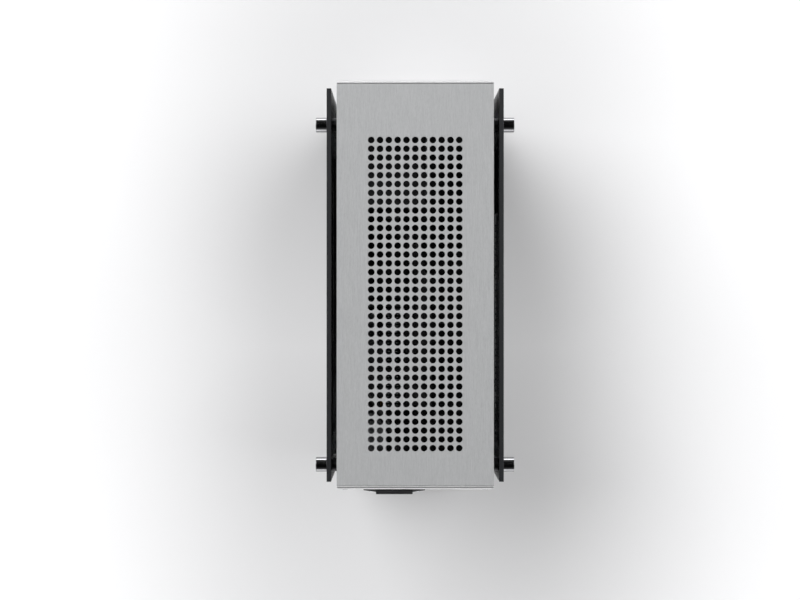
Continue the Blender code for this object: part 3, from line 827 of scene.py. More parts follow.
class Repeat:
    """A Geometry Nodes tree that repeats the modifier's own mesh, ended as real faces with a material."""

    def __init__(self, name: str) -> None:
        """Starts a tree with a geometry input and output.

        Args:
            name: the tree's name.
        """
        self.tree = bpy.data.node_groups.new(name, "GeometryNodeTree")
        self.tree.interface.new_socket("Geometry", in_out="INPUT", socket_type="NodeSocketGeometry")
        self.tree.interface.new_socket("Geometry", in_out="OUTPUT", socket_type="NodeSocketGeometry")
        self.inputs = self.tree.nodes.new("NodeGroupInput")
        self.output = self.tree.nodes.new("NodeGroupOutput")

    def size(self, name: str, kind: str = "Float") -> Socket:
        """Adds a named input and returns its socket inside the tree."""
        self.tree.interface.new_socket(name, in_out="INPUT", socket_type=f"NodeSocket{kind}")
        return self.inputs.outputs[name]

    def add(self, kind: str, sockets: dict | None = None, **settings: object) -> Socket:
        """Adds a node to this tree and returns its first output."""
        return add_node(self.tree, kind, sockets, **settings).outputs[0]

    def end(self, points: Socket, finish: Finish, **instance: object) -> None:
        """Puts the mesh on each point, makes it real and sets its material.

        Args:
            points: where the copies go.
            finish: the copies' finish.
            **instance: Rotation or Scale sockets of the copies.
        """
        what = {"Points": points, "Instance": self.inputs.outputs["Geometry"], **instance}
        placed = self.add("GeometryNodeInstanceOnPoints", what)
        real = self.add("GeometryNodeRealizeInstances", {"Geometry": placed})
        ended = {"Geometry": real, "Material": finish.material()}
        self.tree.links.new(self.add("GeometryNodeSetMaterial", ended), self.output.inputs[0])

    def run(self, part: Shape, values: dict[str, object]) -> Shape:
        """Runs the tree on a shape.

        Args:
            part: the shape that is repeated, freed here.
            values: input name to value.

        Returns:
            The repeated shape.
        """
        mesh = bpy.data.meshes.new("repeat")
        part.to_mesh(mesh)
        part.free()
        holder = bpy.data.objects.new("repeat", mesh)
        bpy.context.scene.collection.objects.link(holder)
        modifier = holder.modifiers.new("repeat", "NODES")
        modifier.node_group = self.tree
        for item in self.tree.interface.items_tree:
            if item.in_out == "INPUT" and item.name in values:
                modifier[item.identifier] = values[item.name]
        graph = bpy.context.evaluated_depsgraph_get()
        result = bpy.data.meshes.new_from_object(holder.evaluated_get(graph))
        holder.modifiers.remove(modifier)
        bpy.data.objects.remove(holder)
        made = bmesh.new()
        made.from_mesh(result)
        for face in made.faces:
            face.material_index = 0
        bpy.data.meshes.remove(result)
        bpy.data.meshes.remove(mesh)
        return made


def grid_repeat(finish: Finish) -> Repeat:
    """Copies on a flat grid in X and Y about the origin, at one pitch for each axis.

    Args:
        finish: the copies' finish.

    Returns:
        The tree, ready to run.
    """
    tree = Repeat("copies_on_a_grid")
    sizes: dict[str, Socket] = {}
    for axis, line in (("X", "Columns"), ("Y", "Rows")):
        pitch, count = tree.size(f"Pitch {axis}"), tree.size(line, "Int")
        gaps = tree.add("ShaderNodeMath", {0: count, 1: 1.0}, operation="SUBTRACT")
        sizes[f"Size {axis}"] = tree.add("ShaderNodeMath", {0: pitch, 1: gaps}, operation="MULTIPLY")
        sizes[f"Vertices {axis}"] = count
    tree.end(tree.add("GeometryNodeMeshGrid", sizes), finish)
    return tree


def ring_repeat(finish: Finish) -> Repeat:
    """Copies turned about the Z axis, evenly round a whole circle.

    Args:
        finish: the copies' finish.

    Returns:
        The tree, ready to run.
    """
    tree = Repeat("copies_round_an_axis")
    count = tree.size("Count", "Int")
    points = tree.add("GeometryNodePoints", {"Count": count})
    step = tree.add("ShaderNodeMath", {0: math.tau, 1: count}, operation="DIVIDE")
    index = tree.add("GeometryNodeInputIndex")
    angle = tree.add("ShaderNodeMath", {0: index, 1: step}, operation="MULTIPLY")
    tree.end(points, finish, Rotation=tree.add("ShaderNodeCombineXYZ", {"Z": angle}))
    return tree


def scatter_repeat(finish: Finish) -> Repeat:
    """Copies strewn over a rectangle in X and Y, in random sizes from a fixed seed.

    Args:
        finish: the copies' finish.

    Returns:
        The tree, ready to run.
    """
    tree = Repeat("small_parts_on_a_board")
    width, depth = tree.size("Width"), tree.size("Depth")
    density, apart = tree.size("Density"), tree.size("Apart")
    least, most = tree.size("Smallest", "Vector"), tree.size("Largest", "Vector")
    seed = tree.size("Seed", "Int")
    sides = {"Size X": width, "Size Y": depth, "Vertices X": 2, "Vertices Y": 2}
    sheet = tree.add("GeometryNodeMeshGrid", sides)
    strewn = {"Mesh": sheet, "Distance Min": apart, "Density Max": density, "Seed": seed}
    points = tree.add(
        "GeometryNodeDistributePointsOnFaces", strewn, distribute_method="POISSON"
    )
    limits = {"Min": least, "Max": most, "Seed": seed}
    size = tree.add("FunctionNodeRandomValue", limits, data_type="FLOAT_VECTOR")
    tree.end(points, finish, Scale=size)
    return tree


# The studio ------------------------------------------------------------------------------------


@dataclass
class Studio:
    """Pale floor with painted shadow in two patches before and behind the tower, soft light from the front and one
    side, and a camera looking straight down.
    """

    camera_height: float = 1.300  # above the top panel
    camera_x: float = 0.0132
    camera_y: float = 0.0103
    frame_width: float = 0.692  # what the picture's width spans at the top panel's height
    floor_size: float = 40.0
    # colour at the middle of each darker patch: painted shadow on the floor before and behind the tower
    floor_painted_shadow: str = "d6d6d7"
    floor_middle: tuple[float, float, float] = (0.0, 0.06, 0.0)  # between the darker patches
    shade: tuple[float, float, float] = (0.0, 0.30, 0.0)  # from there to each patch's middle
    floor_far: str = "fafafb"
    fade: tuple[float, float] = (0.04, 0.40)  # from a patch's middle to the pale floor
    strip_size: tuple[float, float] = (3.2, 0.50)
    strip_height: float = 0.30
    strip_aim: float = 0.2  # height on the tower that the strips point at
    suns: tuple[tuple[str, tuple[float, float, float], float, float], ...] = (
        ("key_softbox", (0.68, -0.56, 0.95), 46.0, 2.35),
        ("fill_softbox", (-0.66, -0.30, 0.95), 44.0, 1.40),
    )
    strips: tuple[tuple[str, float, float], ...] = (
        ("front_strip", -2.4, 24.0),
        ("rear_strip", 2.4, 9.0),
    )

    def build(self, top_z: float) -> None:
        """Makes the floor, the lights, the world and the camera.

        Args:
            top_z: height of the top plate.
        """
        self.floor()
        for name, towards, width, strength in self.suns:
            self.softbox(name, Vector(towards), math.radians(width), strength)
        for name, y, power in self.strips:
            self.strip(name, y, power)
        self.sky()
        self.camera(top_z)

    def floor(self) -> None:
        """A wide sheet at the feet's soles, darkened in two patches before and behind the tower as painted shadow."""
        made = bmesh.new()
        bmesh.ops.create_grid(made, x_segments=2, y_segments=2, size=self.floor_size / 2)
        mesh = bpy.data.meshes.new("studio_floor")
        made.to_mesh(mesh)
        made.free()
        material = bpy.data.materials.new("pale_studio_floor")
        material.use_nodes = True
        shader = material.node_tree.nodes["Principled BSDF"]
        shader.inputs["Roughness"].default_value = 0.9
        tree = material.node_tree
        place = add_node(tree, "ShaderNodeTexCoord").outputs["Object"]
        # distance to the nearer painted shadow patch, which sets how dark the floor is painted
        for operation, sockets in (
            ("SUBTRACT", {1: self.floor_middle}),
            ("ABSOLUTE", {}),
            ("SUBTRACT", {1: self.shade}),
        ):
            place = add_node(
                tree, "ShaderNodeVectorMath", {0: place, **sockets}, operation=operation
            ).outputs[0]
        away = add_node(tree, "ShaderNodeVectorMath", {0: place}, operation="LENGTH")
        fade = add_node(
            tree,
            "ShaderNodeMapRange",
            {"Value": away.outputs["Value"], "From Min": self.fade[0], "From Max": self.fade[1]},
            interpolation_type="SMOOTHSTEP",
        )
        ramp = add_node(tree, "ShaderNodeValToRGB", {"Fac": fade.outputs["Result"]})
        ramp.color_ramp.elements[0].color = linear(self.floor_painted_shadow)
        ramp.color_ramp.elements[1].color = linear(self.floor_far)
        tree.links.new(ramp.outputs["Color"], shader.inputs["Base Color"])
        shader.inputs["Specular IOR Level"].default_value = 0.15
        mesh.materials.append(material)
        floor = bpy.data.objects.new("studio_floor", mesh)
        bpy.context.scene.collection.objects.link(floor)

    def softbox(self, name: str, towards: Vector, width: float, strength: float) -> None:
        """A wide distant light.

        Args:
            name: the light's name.
            towards: the way from the tower to the light.
            width: the angle it fills in radians.
            strength: its irradiance.
        """
        light = bpy.data.lights.new(name, "SUN")
        light.angle = width
        light.energy = strength
        made = bpy.data.objects.new(name, light)
        made.rotation_euler = towards.to_track_quat("Z", "Y").to_euler()
        bpy.context.scene.collection.objects.link(made)

    def strip(self, name: str, y: float, power: float) -> None:
        """A low strip light before or behind the tower, which edges that plate in white.

        Args:
            name: the light's name.
            y: where it stands.
            power: its output in watts.
        """
        light = bpy.data.lights.new(name, "AREA")
        light.shape = "RECTANGLE"
        light.size, light.size_y = self.strip_size
        light.energy = power
        place = Vector((0.0, y, self.strip_height))
        made = bpy.data.objects.new(name, light)
        made.location = place
        aim = Vector((0, 0, self.strip_aim)) - place
        made.rotation_euler = aim.to_track_quat("-Z", "Y").to_euler()
        bpy.context.scene.collection.objects.link(made)

    def sky(self) -> None:
        """A world that is dark overhead and grows lighter towards the horizon, most of all at the sides."""
        world = bpy.data.worlds.new("studio_world")
        bpy.context.scene.world = world
        world.use_nodes = True
        tree = world.node_tree
        way = add_node(tree, "ShaderNodeTexCoord").outputs["Generated"]
        parts = add_node(tree, "ShaderNodeSeparateXYZ", {0: way})
        across = add_node(tree, "ShaderNodeMath", {0: parts.outputs["X"]}, operation="ABSOLUTE")
        levels = {}
        for i, (source, start, stop, least, most) in enumerate(
            (
                (parts.outputs["Z"], 0.85, 0.0, 0.015, 0.80),
                (across.outputs[0], 0.1, 0.8, 0.40, 1.45),
            )
        ):
            ends = {"From Min": start, "From Max": stop, "To Min": least, "To Max": most}
            levels[i] = add_node(
                tree,
                "ShaderNodeMapRange",
                {"Value": source, **ends},
                interpolation_type="SMOOTHSTEP",
            ).outputs["Result"]
        glow = add_node(tree, "ShaderNodeMath", levels, operation="MULTIPLY")
        background = tree.nodes["Background"]
        background.inputs["Color"].default_value = (1.0, 1.0, 1.0, 1.0)
        tree.links.new(glow.outputs[0], background.inputs["Strength"])

    def camera(self, top_z: float) -> None:
        """Looks straight down, with the tower's front at the top of the picture.

        Args:
            top_z: height of the top plate.
        """
        lens = bpy.data.cameras.new("camera")
        lens.sensor_width = 36.0
        lens.lens = lens.sensor_width * self.camera_height / self.frame_width
        made = bpy.data.objects.new("camera", lens)
        made.location = (self.camera_x, self.camera_y, top_z + self.camera_height)
        made.rotation_euler = (0.0, 0.0, math.pi)
        bpy.context.scene.collection.objects.link(made)
        bpy.context.scene.camera = made
        bpy.context.scene.view_settings.view_transform = "Standard"


# Body panels -----------------------------------------------------------------------------------


@dataclass
class TopPanel:
    """The aluminium top plate with its field of round holes."""

    pitch: float = 0.00762
    columns: int = 11
    rows: int = 36
    hole_radius: float = 0.0029
    rim: float = 0.0001  # broken edge of each hole
    sides: int = 16
    field_offset: float = 0.00815  # from the plate's middle to the hole field's
    edge: float = 0.00015  # rounding of the plate's own edges

    def build(self) -> None:
        """Joins the tiles that hold the holes to a plain border and rounds the outer edges."""
        lo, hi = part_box("top_panel")
        field_y = (lo.y + hi.y) / 2 + self.field_offset
        made = grid_repeat(TOP_METAL_PAINTED_SHADE).run(
            self.tile(hi.z - lo.z),
            {"Pitch X": self.pitch, "Pitch Y": self.pitch, "Columns": self.columns, "Rows": self.rows},
        )
        bmesh.ops.translate(made, vec=(0, field_y, lo.z), verts=made.verts)
        self.border(made, lo, hi, field_y)
        bmesh.ops.remove_doubles(made, verts=made.verts, dist=2e-6)
        bmesh.ops.recalc_face_normals(made, faces=made.faces)
        sharp = (e for e in made.edges if e.is_manifold and e.calc_face_angle(0.0) > math.radians(60))
        outer = [e for e in sharp if any(level(e, a, side[a]) for a in (0, 1) for side in (lo, hi))]
        bmesh.ops.bevel(
            made,
            geom=outer,
            offset=self.edge,
            segments=3,
            profile=0.5,
            affect="EDGES",
            clamp_overlap=True,
        )
        piece("perforated_top", made, TOP_METAL_PAINTED_SHADE, stands_for=["top_panel"])

    def tile(self, thickness: float) -> Shape:
        """One square of plate, a pitch wide, with a chamfered hole; its four sides are open.

        Args:
            thickness: the plate's.

        Returns:
            The open shape, its lower face at height nought.
        """
        made = bmesh.new()
        half = self.pitch / 2
        rings = []
        levels = (
            (self.hole_radius + self.rim, thickness),
            (self.hole_radius, thickness - self.rim),
            (self.hole_radius, self.rim),
            (self.hole_radius + self.rim, 0.0),
        )
        for radius, z in levels:
            rings.append([made.verts.new((x, y, z)) for x, y in circle(radius, self.sides)])
        bridge(made, rings)
        quarter = self.sides // 4
        for ring, z in ((rings[0], thickness), (rings[-1], 0.0)):
            signs = ((1, 1), (-1, 1), (-1, -1), (1, -1))
            corners = [made.verts.new((half * sx, half * sy, z)) for sx, sy in signs]
            for k in range(4):
                start = k * quarter + quarter // 2
                arc = [ring[(start + i) % self.sides] for i in range(quarter + 1)]
                made.faces.new([corners[k], corners[(k + 1) % 4], *reversed(arc)])
        return made

    def border(self, made: Shape, lo: Vector, hi: Vector, field_y: float) -> None:
        """The plain plate round the tiles, cut so that its corners meet theirs.

        Args:
            made: the shape it is added to.
            lo: the plate's lowest corner.
            hi: its highest corner.
            field_y: middle of the hole field along Y.
        """
        xs = [(i - self.columns / 2) * self.pitch for i in range(self.columns + 1)]
        ys = [field_y + (j - self.rows / 2) * self.pitch for j in range(self.rows + 1)]
        lines_x, lines_y = [lo.x, *xs, hi.x], [lo.y, *ys, hi.y]
        for i, (x0, x1) in enumerate(zip(lines_x, lines_x[1:])):
            for j, (y0, y1) in enumerate(zip(lines_y, lines_y[1:])):
                if 0 < i <= self.columns and 0 < j <= self.rows:
                    continue
                for z in (lo.z, hi.z):
                    patch(made, ((x0, y0, z), (x1, y0, z), (x1, y1, z), (x0, y1, z)))
        for x in (lo.x, hi.x):
            for y0, y1 in zip(lines_y, lines_y[1:]):
                patch(made, ((x, y0, lo.z), (x, y1, lo.z), (x, y1, hi.z), (x, y0, hi.z)))
        for y in (lo.y, hi.y):
            for x0, x1 in zip(lines_x, lines_x[1:]):
                patch(made, ((x0, y, lo.z), (x1, y, lo.z), (x1, y, hi.z), (x0, y, hi.z)))


@dataclass
class Panels:
    """Front, rear and bottom plates, each the frame's own shape with its edges rounded."""

    front_round: float = 0.0022
    rear_round: float = 0.0024
    small_round: float = 0.00015

    def build(self) -> None:
        """Rounds the front and rear plates' outward edges most, and every other edge a little."""
        for node, finish, width, outward in (
            ("front_panel", FRONT_METAL, self.front_round, -1),
            ("rear_panel", REAR_METAL_PAINTED_LIGHT, self.rear_round, 1),
            ("bottom_panel", BLACK_STEEL, 0.0, 0),
        ):
            made = cad_shape(node)
            if outward:
                self.round_rim(made, *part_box(node), width, outward)
            soften(made, self.small_round, 1, 60.0)
            piece(node.replace("panel", "plate"), made, finish, stands_for=[node])
        self.screws()

    def round_rim(
        self, made: Shape, lo: Vector, hi: Vector, width: float, outward: int
    ) -> None:
        """Rounds the edges round the plate's outward face.

        Args:
            made: the plate, changed in place.
            lo: its lowest corner.
            hi: its highest corner.
            width: how far the rounding reaches.
            outward: the sign of the outward face's direction along Y.
        """
        face_y = hi.y if outward > 0 else lo.y
        face = (e for e in made.edges if level(e, 1, face_y))
        rim = [e for e in face if any(level(e, a, side[a]) for a in (0, 2) for side in (lo, hi))]
        bmesh.ops.bevel(
            made, geom=rim, offset=width, segments=6, profile=0.5, affect="EDGES", clamp_overlap=True
        )

    def screws(self) -> None:
        """Countersunk screws round the bottom plate and on the rear plate."""
        lo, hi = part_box("bottom_panel")
        made = grid_repeat(BRIGHT_STEEL).run(
            screw_head(0.0026, 0.0008),
            {"Pitch X": 0.112, "Pitch Y": 0.164, "Columns": 2, "Rows": 3},
        )
        bmesh.ops.scale(made, vec=(1, 1, -1), verts=made.verts)
        bmesh.ops.reverse_faces(made, faces=made.faces)
        bmesh.ops.translate(made, vec=(0, (lo.y + hi.y) / 2, lo.z), verts=made.verts)
        piece("bottom_plate_screws", made, BRIGHT_STEEL)
        lo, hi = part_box("rear_panel")
        made = grid_repeat(BRIGHT_STEEL).run(
            screw_head(0.0030, 0.0010),
            {"Pitch X": 0.122, "Pitch Y": 0.256, "Columns": 2, "Rows": 2},
        )
        made.transform(turned((0, hi.y, (lo.z + hi.z) / 2), -90, "X"))
        piece("rear_plate_screws", made, BRIGHT_STEEL)


# Glass sides -----------------------------------------------------------------------------------


@dataclass
class GlassSides:
    """Both glass panels with their standoffs and thumbscrews."""

    ground_edge: float = 0.00012
    bore: float = 0.0023
    nose: float = 0.00475
    collar: float = 0.006
    air: float = 0.0003  # between a spacer's shoulder and the glass
    head_length: float = 0.0097
    head: float = 0.0065
    shank: float = 0.002
    broken: float = 0.0003
    recess: float = 0.0022
    recess_depth: float = 0.0025

    def build(self) -> None:
        """Builds each side's glass, then the eight standoffs and screws."""
        for side in ("left", "right"):
            made = cad_shape(f"glass_{side}")
            soften(made, self.ground_edge, 1, 60.0)
            piece(f"tinted_glass_{side}", made, GLASS, f"glass_{side}", [f"glass_{side}"])
            for depth in ("front", "rear"):
                for level in ("lower", "upper"):
                    self.fasten(side, f"{depth}_{level}_{side}")

    def fasten(self, side: str, place: str) -> None:
        """One standoff on the case and one thumbscrew on the glass.

        Args:
            side: left or right.
            place: which of the eight, as the frame names it.
        """
        sign, axis = (1, Axis.X) if side == "right" else (-1, Axis.NEG_X)
        lo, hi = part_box(f"standoff_{place}")
        root = lo.x if sign > 0 else hi.x
        centre = Vector((root, (lo.y + hi.y) / 2, (lo.z + hi.z) / 2))
        length = hi.x - lo.x
        glass_lo, glass_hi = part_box(f"glass_{side}")
        shoulder = min(abs(glass_lo.x), abs(glass_hi.x)) - abs(root) - self.air
        bore, nose, collar = self.bore, self.nose, self.collar
        made = bmesh.new()
        lathe(
            made,
            rounded(
                [
                    (0, 0.002), (bore, 0.002), (bore, length), (nose, length),
                    (nose, shoulder), (collar, shoulder), (collar, 0), (0, 0),
                ],
                0.0004,
            ),
            centre,
            axis,
        )
        # the spacer's dark colour is painted shade
        piece(f"spacer_{place}", made, SPACER_STEEL_PAINTED_SHADE, CASE, [f"standoff_{place}"])
        self.screw(place, centre, axis)

    def screw(self, place: str, centre: Vector, axis: Axis) -> None:
        """A plain polished head with a drilled recess in its end, on a thinner shank.

        Args:
            place: which of the eight, as the frame names it.
            centre: middle of the standoff's foot.
            axis: the way out of the case.
        """
        lo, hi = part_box(f"thumbscrew_{place}")
        end = max(abs(lo.x), abs(hi.x)) - abs(centre.x)
        tip = min(abs(lo.x), abs(hi.x)) - abs(centre.x)
        head = end - self.head_length
        radius, shank, edge = self.head, self.shank, self.broken
        socket_r, socket_d = self.recess, self.recess_depth
        body = [
            (radius - edge, end), (radius, end - edge), (radius, head + edge), (radius - edge, head),
            (shank, head), (shank, tip), (0, tip),
        ]
        recess = [
            (0, end - socket_d), (socket_r, end - socket_d), (socket_r, end), (socket_r + edge, end),
        ]
        made = bmesh.new()
        lathe(made, [*recess, *rounded(body, 0.0001, 2)], centre, axis, 64)
        piece(f"screw_{place}", made, BLACK_CHROME, f"thumbscrew_{place}", [f"thumbscrew_{place}"])


# Feet, inner frame and other plain pieces ------------------------------------------------------


@dataclass
class Feet:
    """Four moulded rubber feet, each with its screw in a well in the sole."""

    radius: float = 0.013
    sole_radius: float = 0.011
    well_radius: float = 0.0045
    well_depth: float = 0.005

    def build(self) -> None:
        """Turns each foot and sinks a screw head in it."""
        for place in ("front_left", "front_right", "rear_left", "rear_right"):
            lo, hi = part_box(f"foot_{place}")
            centre = ((lo.x + hi.x) / 2, (lo.y + hi.y) / 2, lo.z)
            top = hi.z - lo.z
            outline = [
                (0, self.well_depth), (self.well_radius, self.well_depth), (self.well_radius, 0),
                (self.sole_radius, 0), (self.radius, 0.004), (self.radius, top), (0, top),
            ]
            made = bmesh.new()
            lathe(made, rounded(outline, 0.0008), centre, Axis.Z, 40)
            piece(f"rubber_foot_{place}", made, RUBBER, stands_for=[f"foot_{place}"])
            head = screw_head(0.0036, 0.0015)
            head.transform(turned((centre[0], centre[1], lo.z + self.well_depth), 180, "X"))
            piece(f"foot_screw_{place}", head, BRIGHT_STEEL)


@dataclass(frozen=True)
class Plain:
    """A frame node whose own shape is right but for its edges."""

    node: str
    finish: Finish
    edge: float
    segments: int = 1


@dataclass
class InnerFrame:
    """Posts, rails, tray, shelf, drive and the other pieces that only need their edges broken."""

    plain: tuple[Plain, ...] = (
        *(
            Plain(f"{kind}_{side}", BLACK_STEEL, 0.0008, 2)
            for kind in ("post_front", "post_rear", "rail_bottom", "rail_top")
            for side in ("left", "right")
        ),
        Plain("motherboard_tray", BLACK_STEEL, 0.0002),
        Plain("power_supply_shelf", BLACK_STEEL, 0.0003),
        Plain("solid_state_drive", FINS, 0.0008, 2),
        Plain("graphics_bracket", PLATED_SHEET, 0.0002),
        Plain("io_shield", PLATED_SHEET, 0.0002),
        Plain("power_switch", PLASTIC, 0.0006, 2),
        Plain("front_ports", PLASTIC, 0.0002),
        Plain("mains_inlet", PLASTIC, 0.0005, 2),
    )

    def build(self) -> None:
        """Softens each plain piece, then adds the screws that hold the frame together."""
        for item in self.plain:
            made = cad_shape(item.node)
            soften(made, item.edge, item.segments)
            piece(item.node + "_finished", made, item.finish, stands_for=[item.node])
        self.post_screws()

    def post_screws(self) -> None:
        """A column of button-head screws on the outer face of each post."""
        for side, sign in (("left", -1), ("right", 1)):
            for depth in ("front", "rear"):
                lo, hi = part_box(f"post_{depth}_{side}")
                made = grid_repeat(BRIGHT_STEEL).run(
                    screw_head(0.0024, 0.0002),
                    {"Pitch X": 0.010, "Pitch Y": 0.045, "Columns": 1, "Rows": 5},
                )
                made.transform(
                    Matrix.Translation((hi.x if sign > 0 else lo.x, (lo.y + hi.y) / 2, (lo.z + hi.z) / 2))
                    @ Matrix.Rotation(sign * math.pi / 2, 4, "Y")
                    @ Matrix.Rotation(math.pi / 2, 4, "Z")
                )
                piece(f"post_screws_{depth}_{side}", made, BRIGHT_STEEL)


# Fans ------------------------------------------------------------------------------------------


@dataclass(frozen=True)
class FanWheel:
    """A fan wheel: a domed hub and a ring of curved blades, made inside its frame node."""

    node: str
    body: str
    axis: Axis
    blades: int
    finish: Finish = FAN_PLASTIC
    hub_share: float = 0.40
    blade_t: float = 0.0012

    def build(self) -> None:
        """Turns the hub, repeats one blade round it and lays both along the fan's axis."""
        lo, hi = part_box(self.node)
        across = [hi[a] - lo[a] for a in range(3)]
        depth = min(across)
        radius = max(across) / 2 - 0.0002
        hub = radius * self.hub_share
        made = ring_repeat(self.finish).run(self.blade(hub, radius, depth), {"Count": self.blades})
        outline = [
            (0, depth / 2), (hub * 0.80, depth / 2), (hub, depth / 2 - 0.0022), (hub, -depth / 2),
            (hub * 0.9, -depth / 2), (hub * 0.9, -depth / 2 + 0.001), (0, -depth / 2 + 0.001),
        ]
        lathe(made, rounded(outline, 0.001), (0, 0, 0), Axis.Z, 48)
        made.transform(Matrix.Translation((lo + hi) / 2) @ self.axis.turn())
        piece(self.node.replace("rotor", "wheel"), made, self.finish, self.body, [self.node])

    def blade(self, hub: float, radius: float, depth: float) -> Shape:
        """One blade from inside the hub to its tip, pitched and swept.

        Args:
            hub: the hub's radius.
            radius: the blade tip's distance from the axis.
            depth: the wheel's depth.

        Returns:
            The closed blade.
        """
        made = bmesh.new()
        along, chord = 7, 6
        rings = []
        for i in range(along + 1):
            share = i / along
            r = hub * 0.94 + (radius - hub * 0.94) * share
            pitch = math.radians(48 + 10 * share)
            sweep = 0.35 * share * share
            width = min(0.94 * depth / math.cos(pitch), math.tau * r / self.blades * 0.92 / math.sin(pitch))
            upper, lower = [], []
            for k in range(chord + 1):
                c = k / chord - 0.5
                camber = 0.10 * width * (1 - 4 * c * c)
                for row, side in ((upper, 0.5), (lower, -0.5)):
                    thick = self.blade_t * side * (1.0 - 0.6 * abs(2 * c))
                    across = c * width * math.sin(pitch) - (camber + thick) * math.cos(pitch)
                    z = c * width * math.cos(pitch) + (camber + thick) * math.sin(pitch)
                    turn = across / r + sweep
                    row.append(made.verts.new((r * math.cos(turn), r * math.sin(turn), z)))
            rings.append([*upper, *reversed(lower)])
        bridge(made, rings)
        made.faces.new(rings[0])
        made.faces.new(rings[-1])
        highest = max(abs(v.co.z) for v in made.verts)
        bmesh.ops.scale(made, vec=(1, 1, min(1.0, 0.485 * depth / highest)), verts=made.verts)
        reach = max(math.hypot(v.co.x, v.co.y) for v in made.verts)
        bmesh.ops.scale(made, vec=(radius / reach, radius / reach, 1), verts=made.verts)
        bmesh.ops.recalc_face_normals(made, faces=made.faces)
        return made


# Motherboard -----------------------------------------------------------------------------------


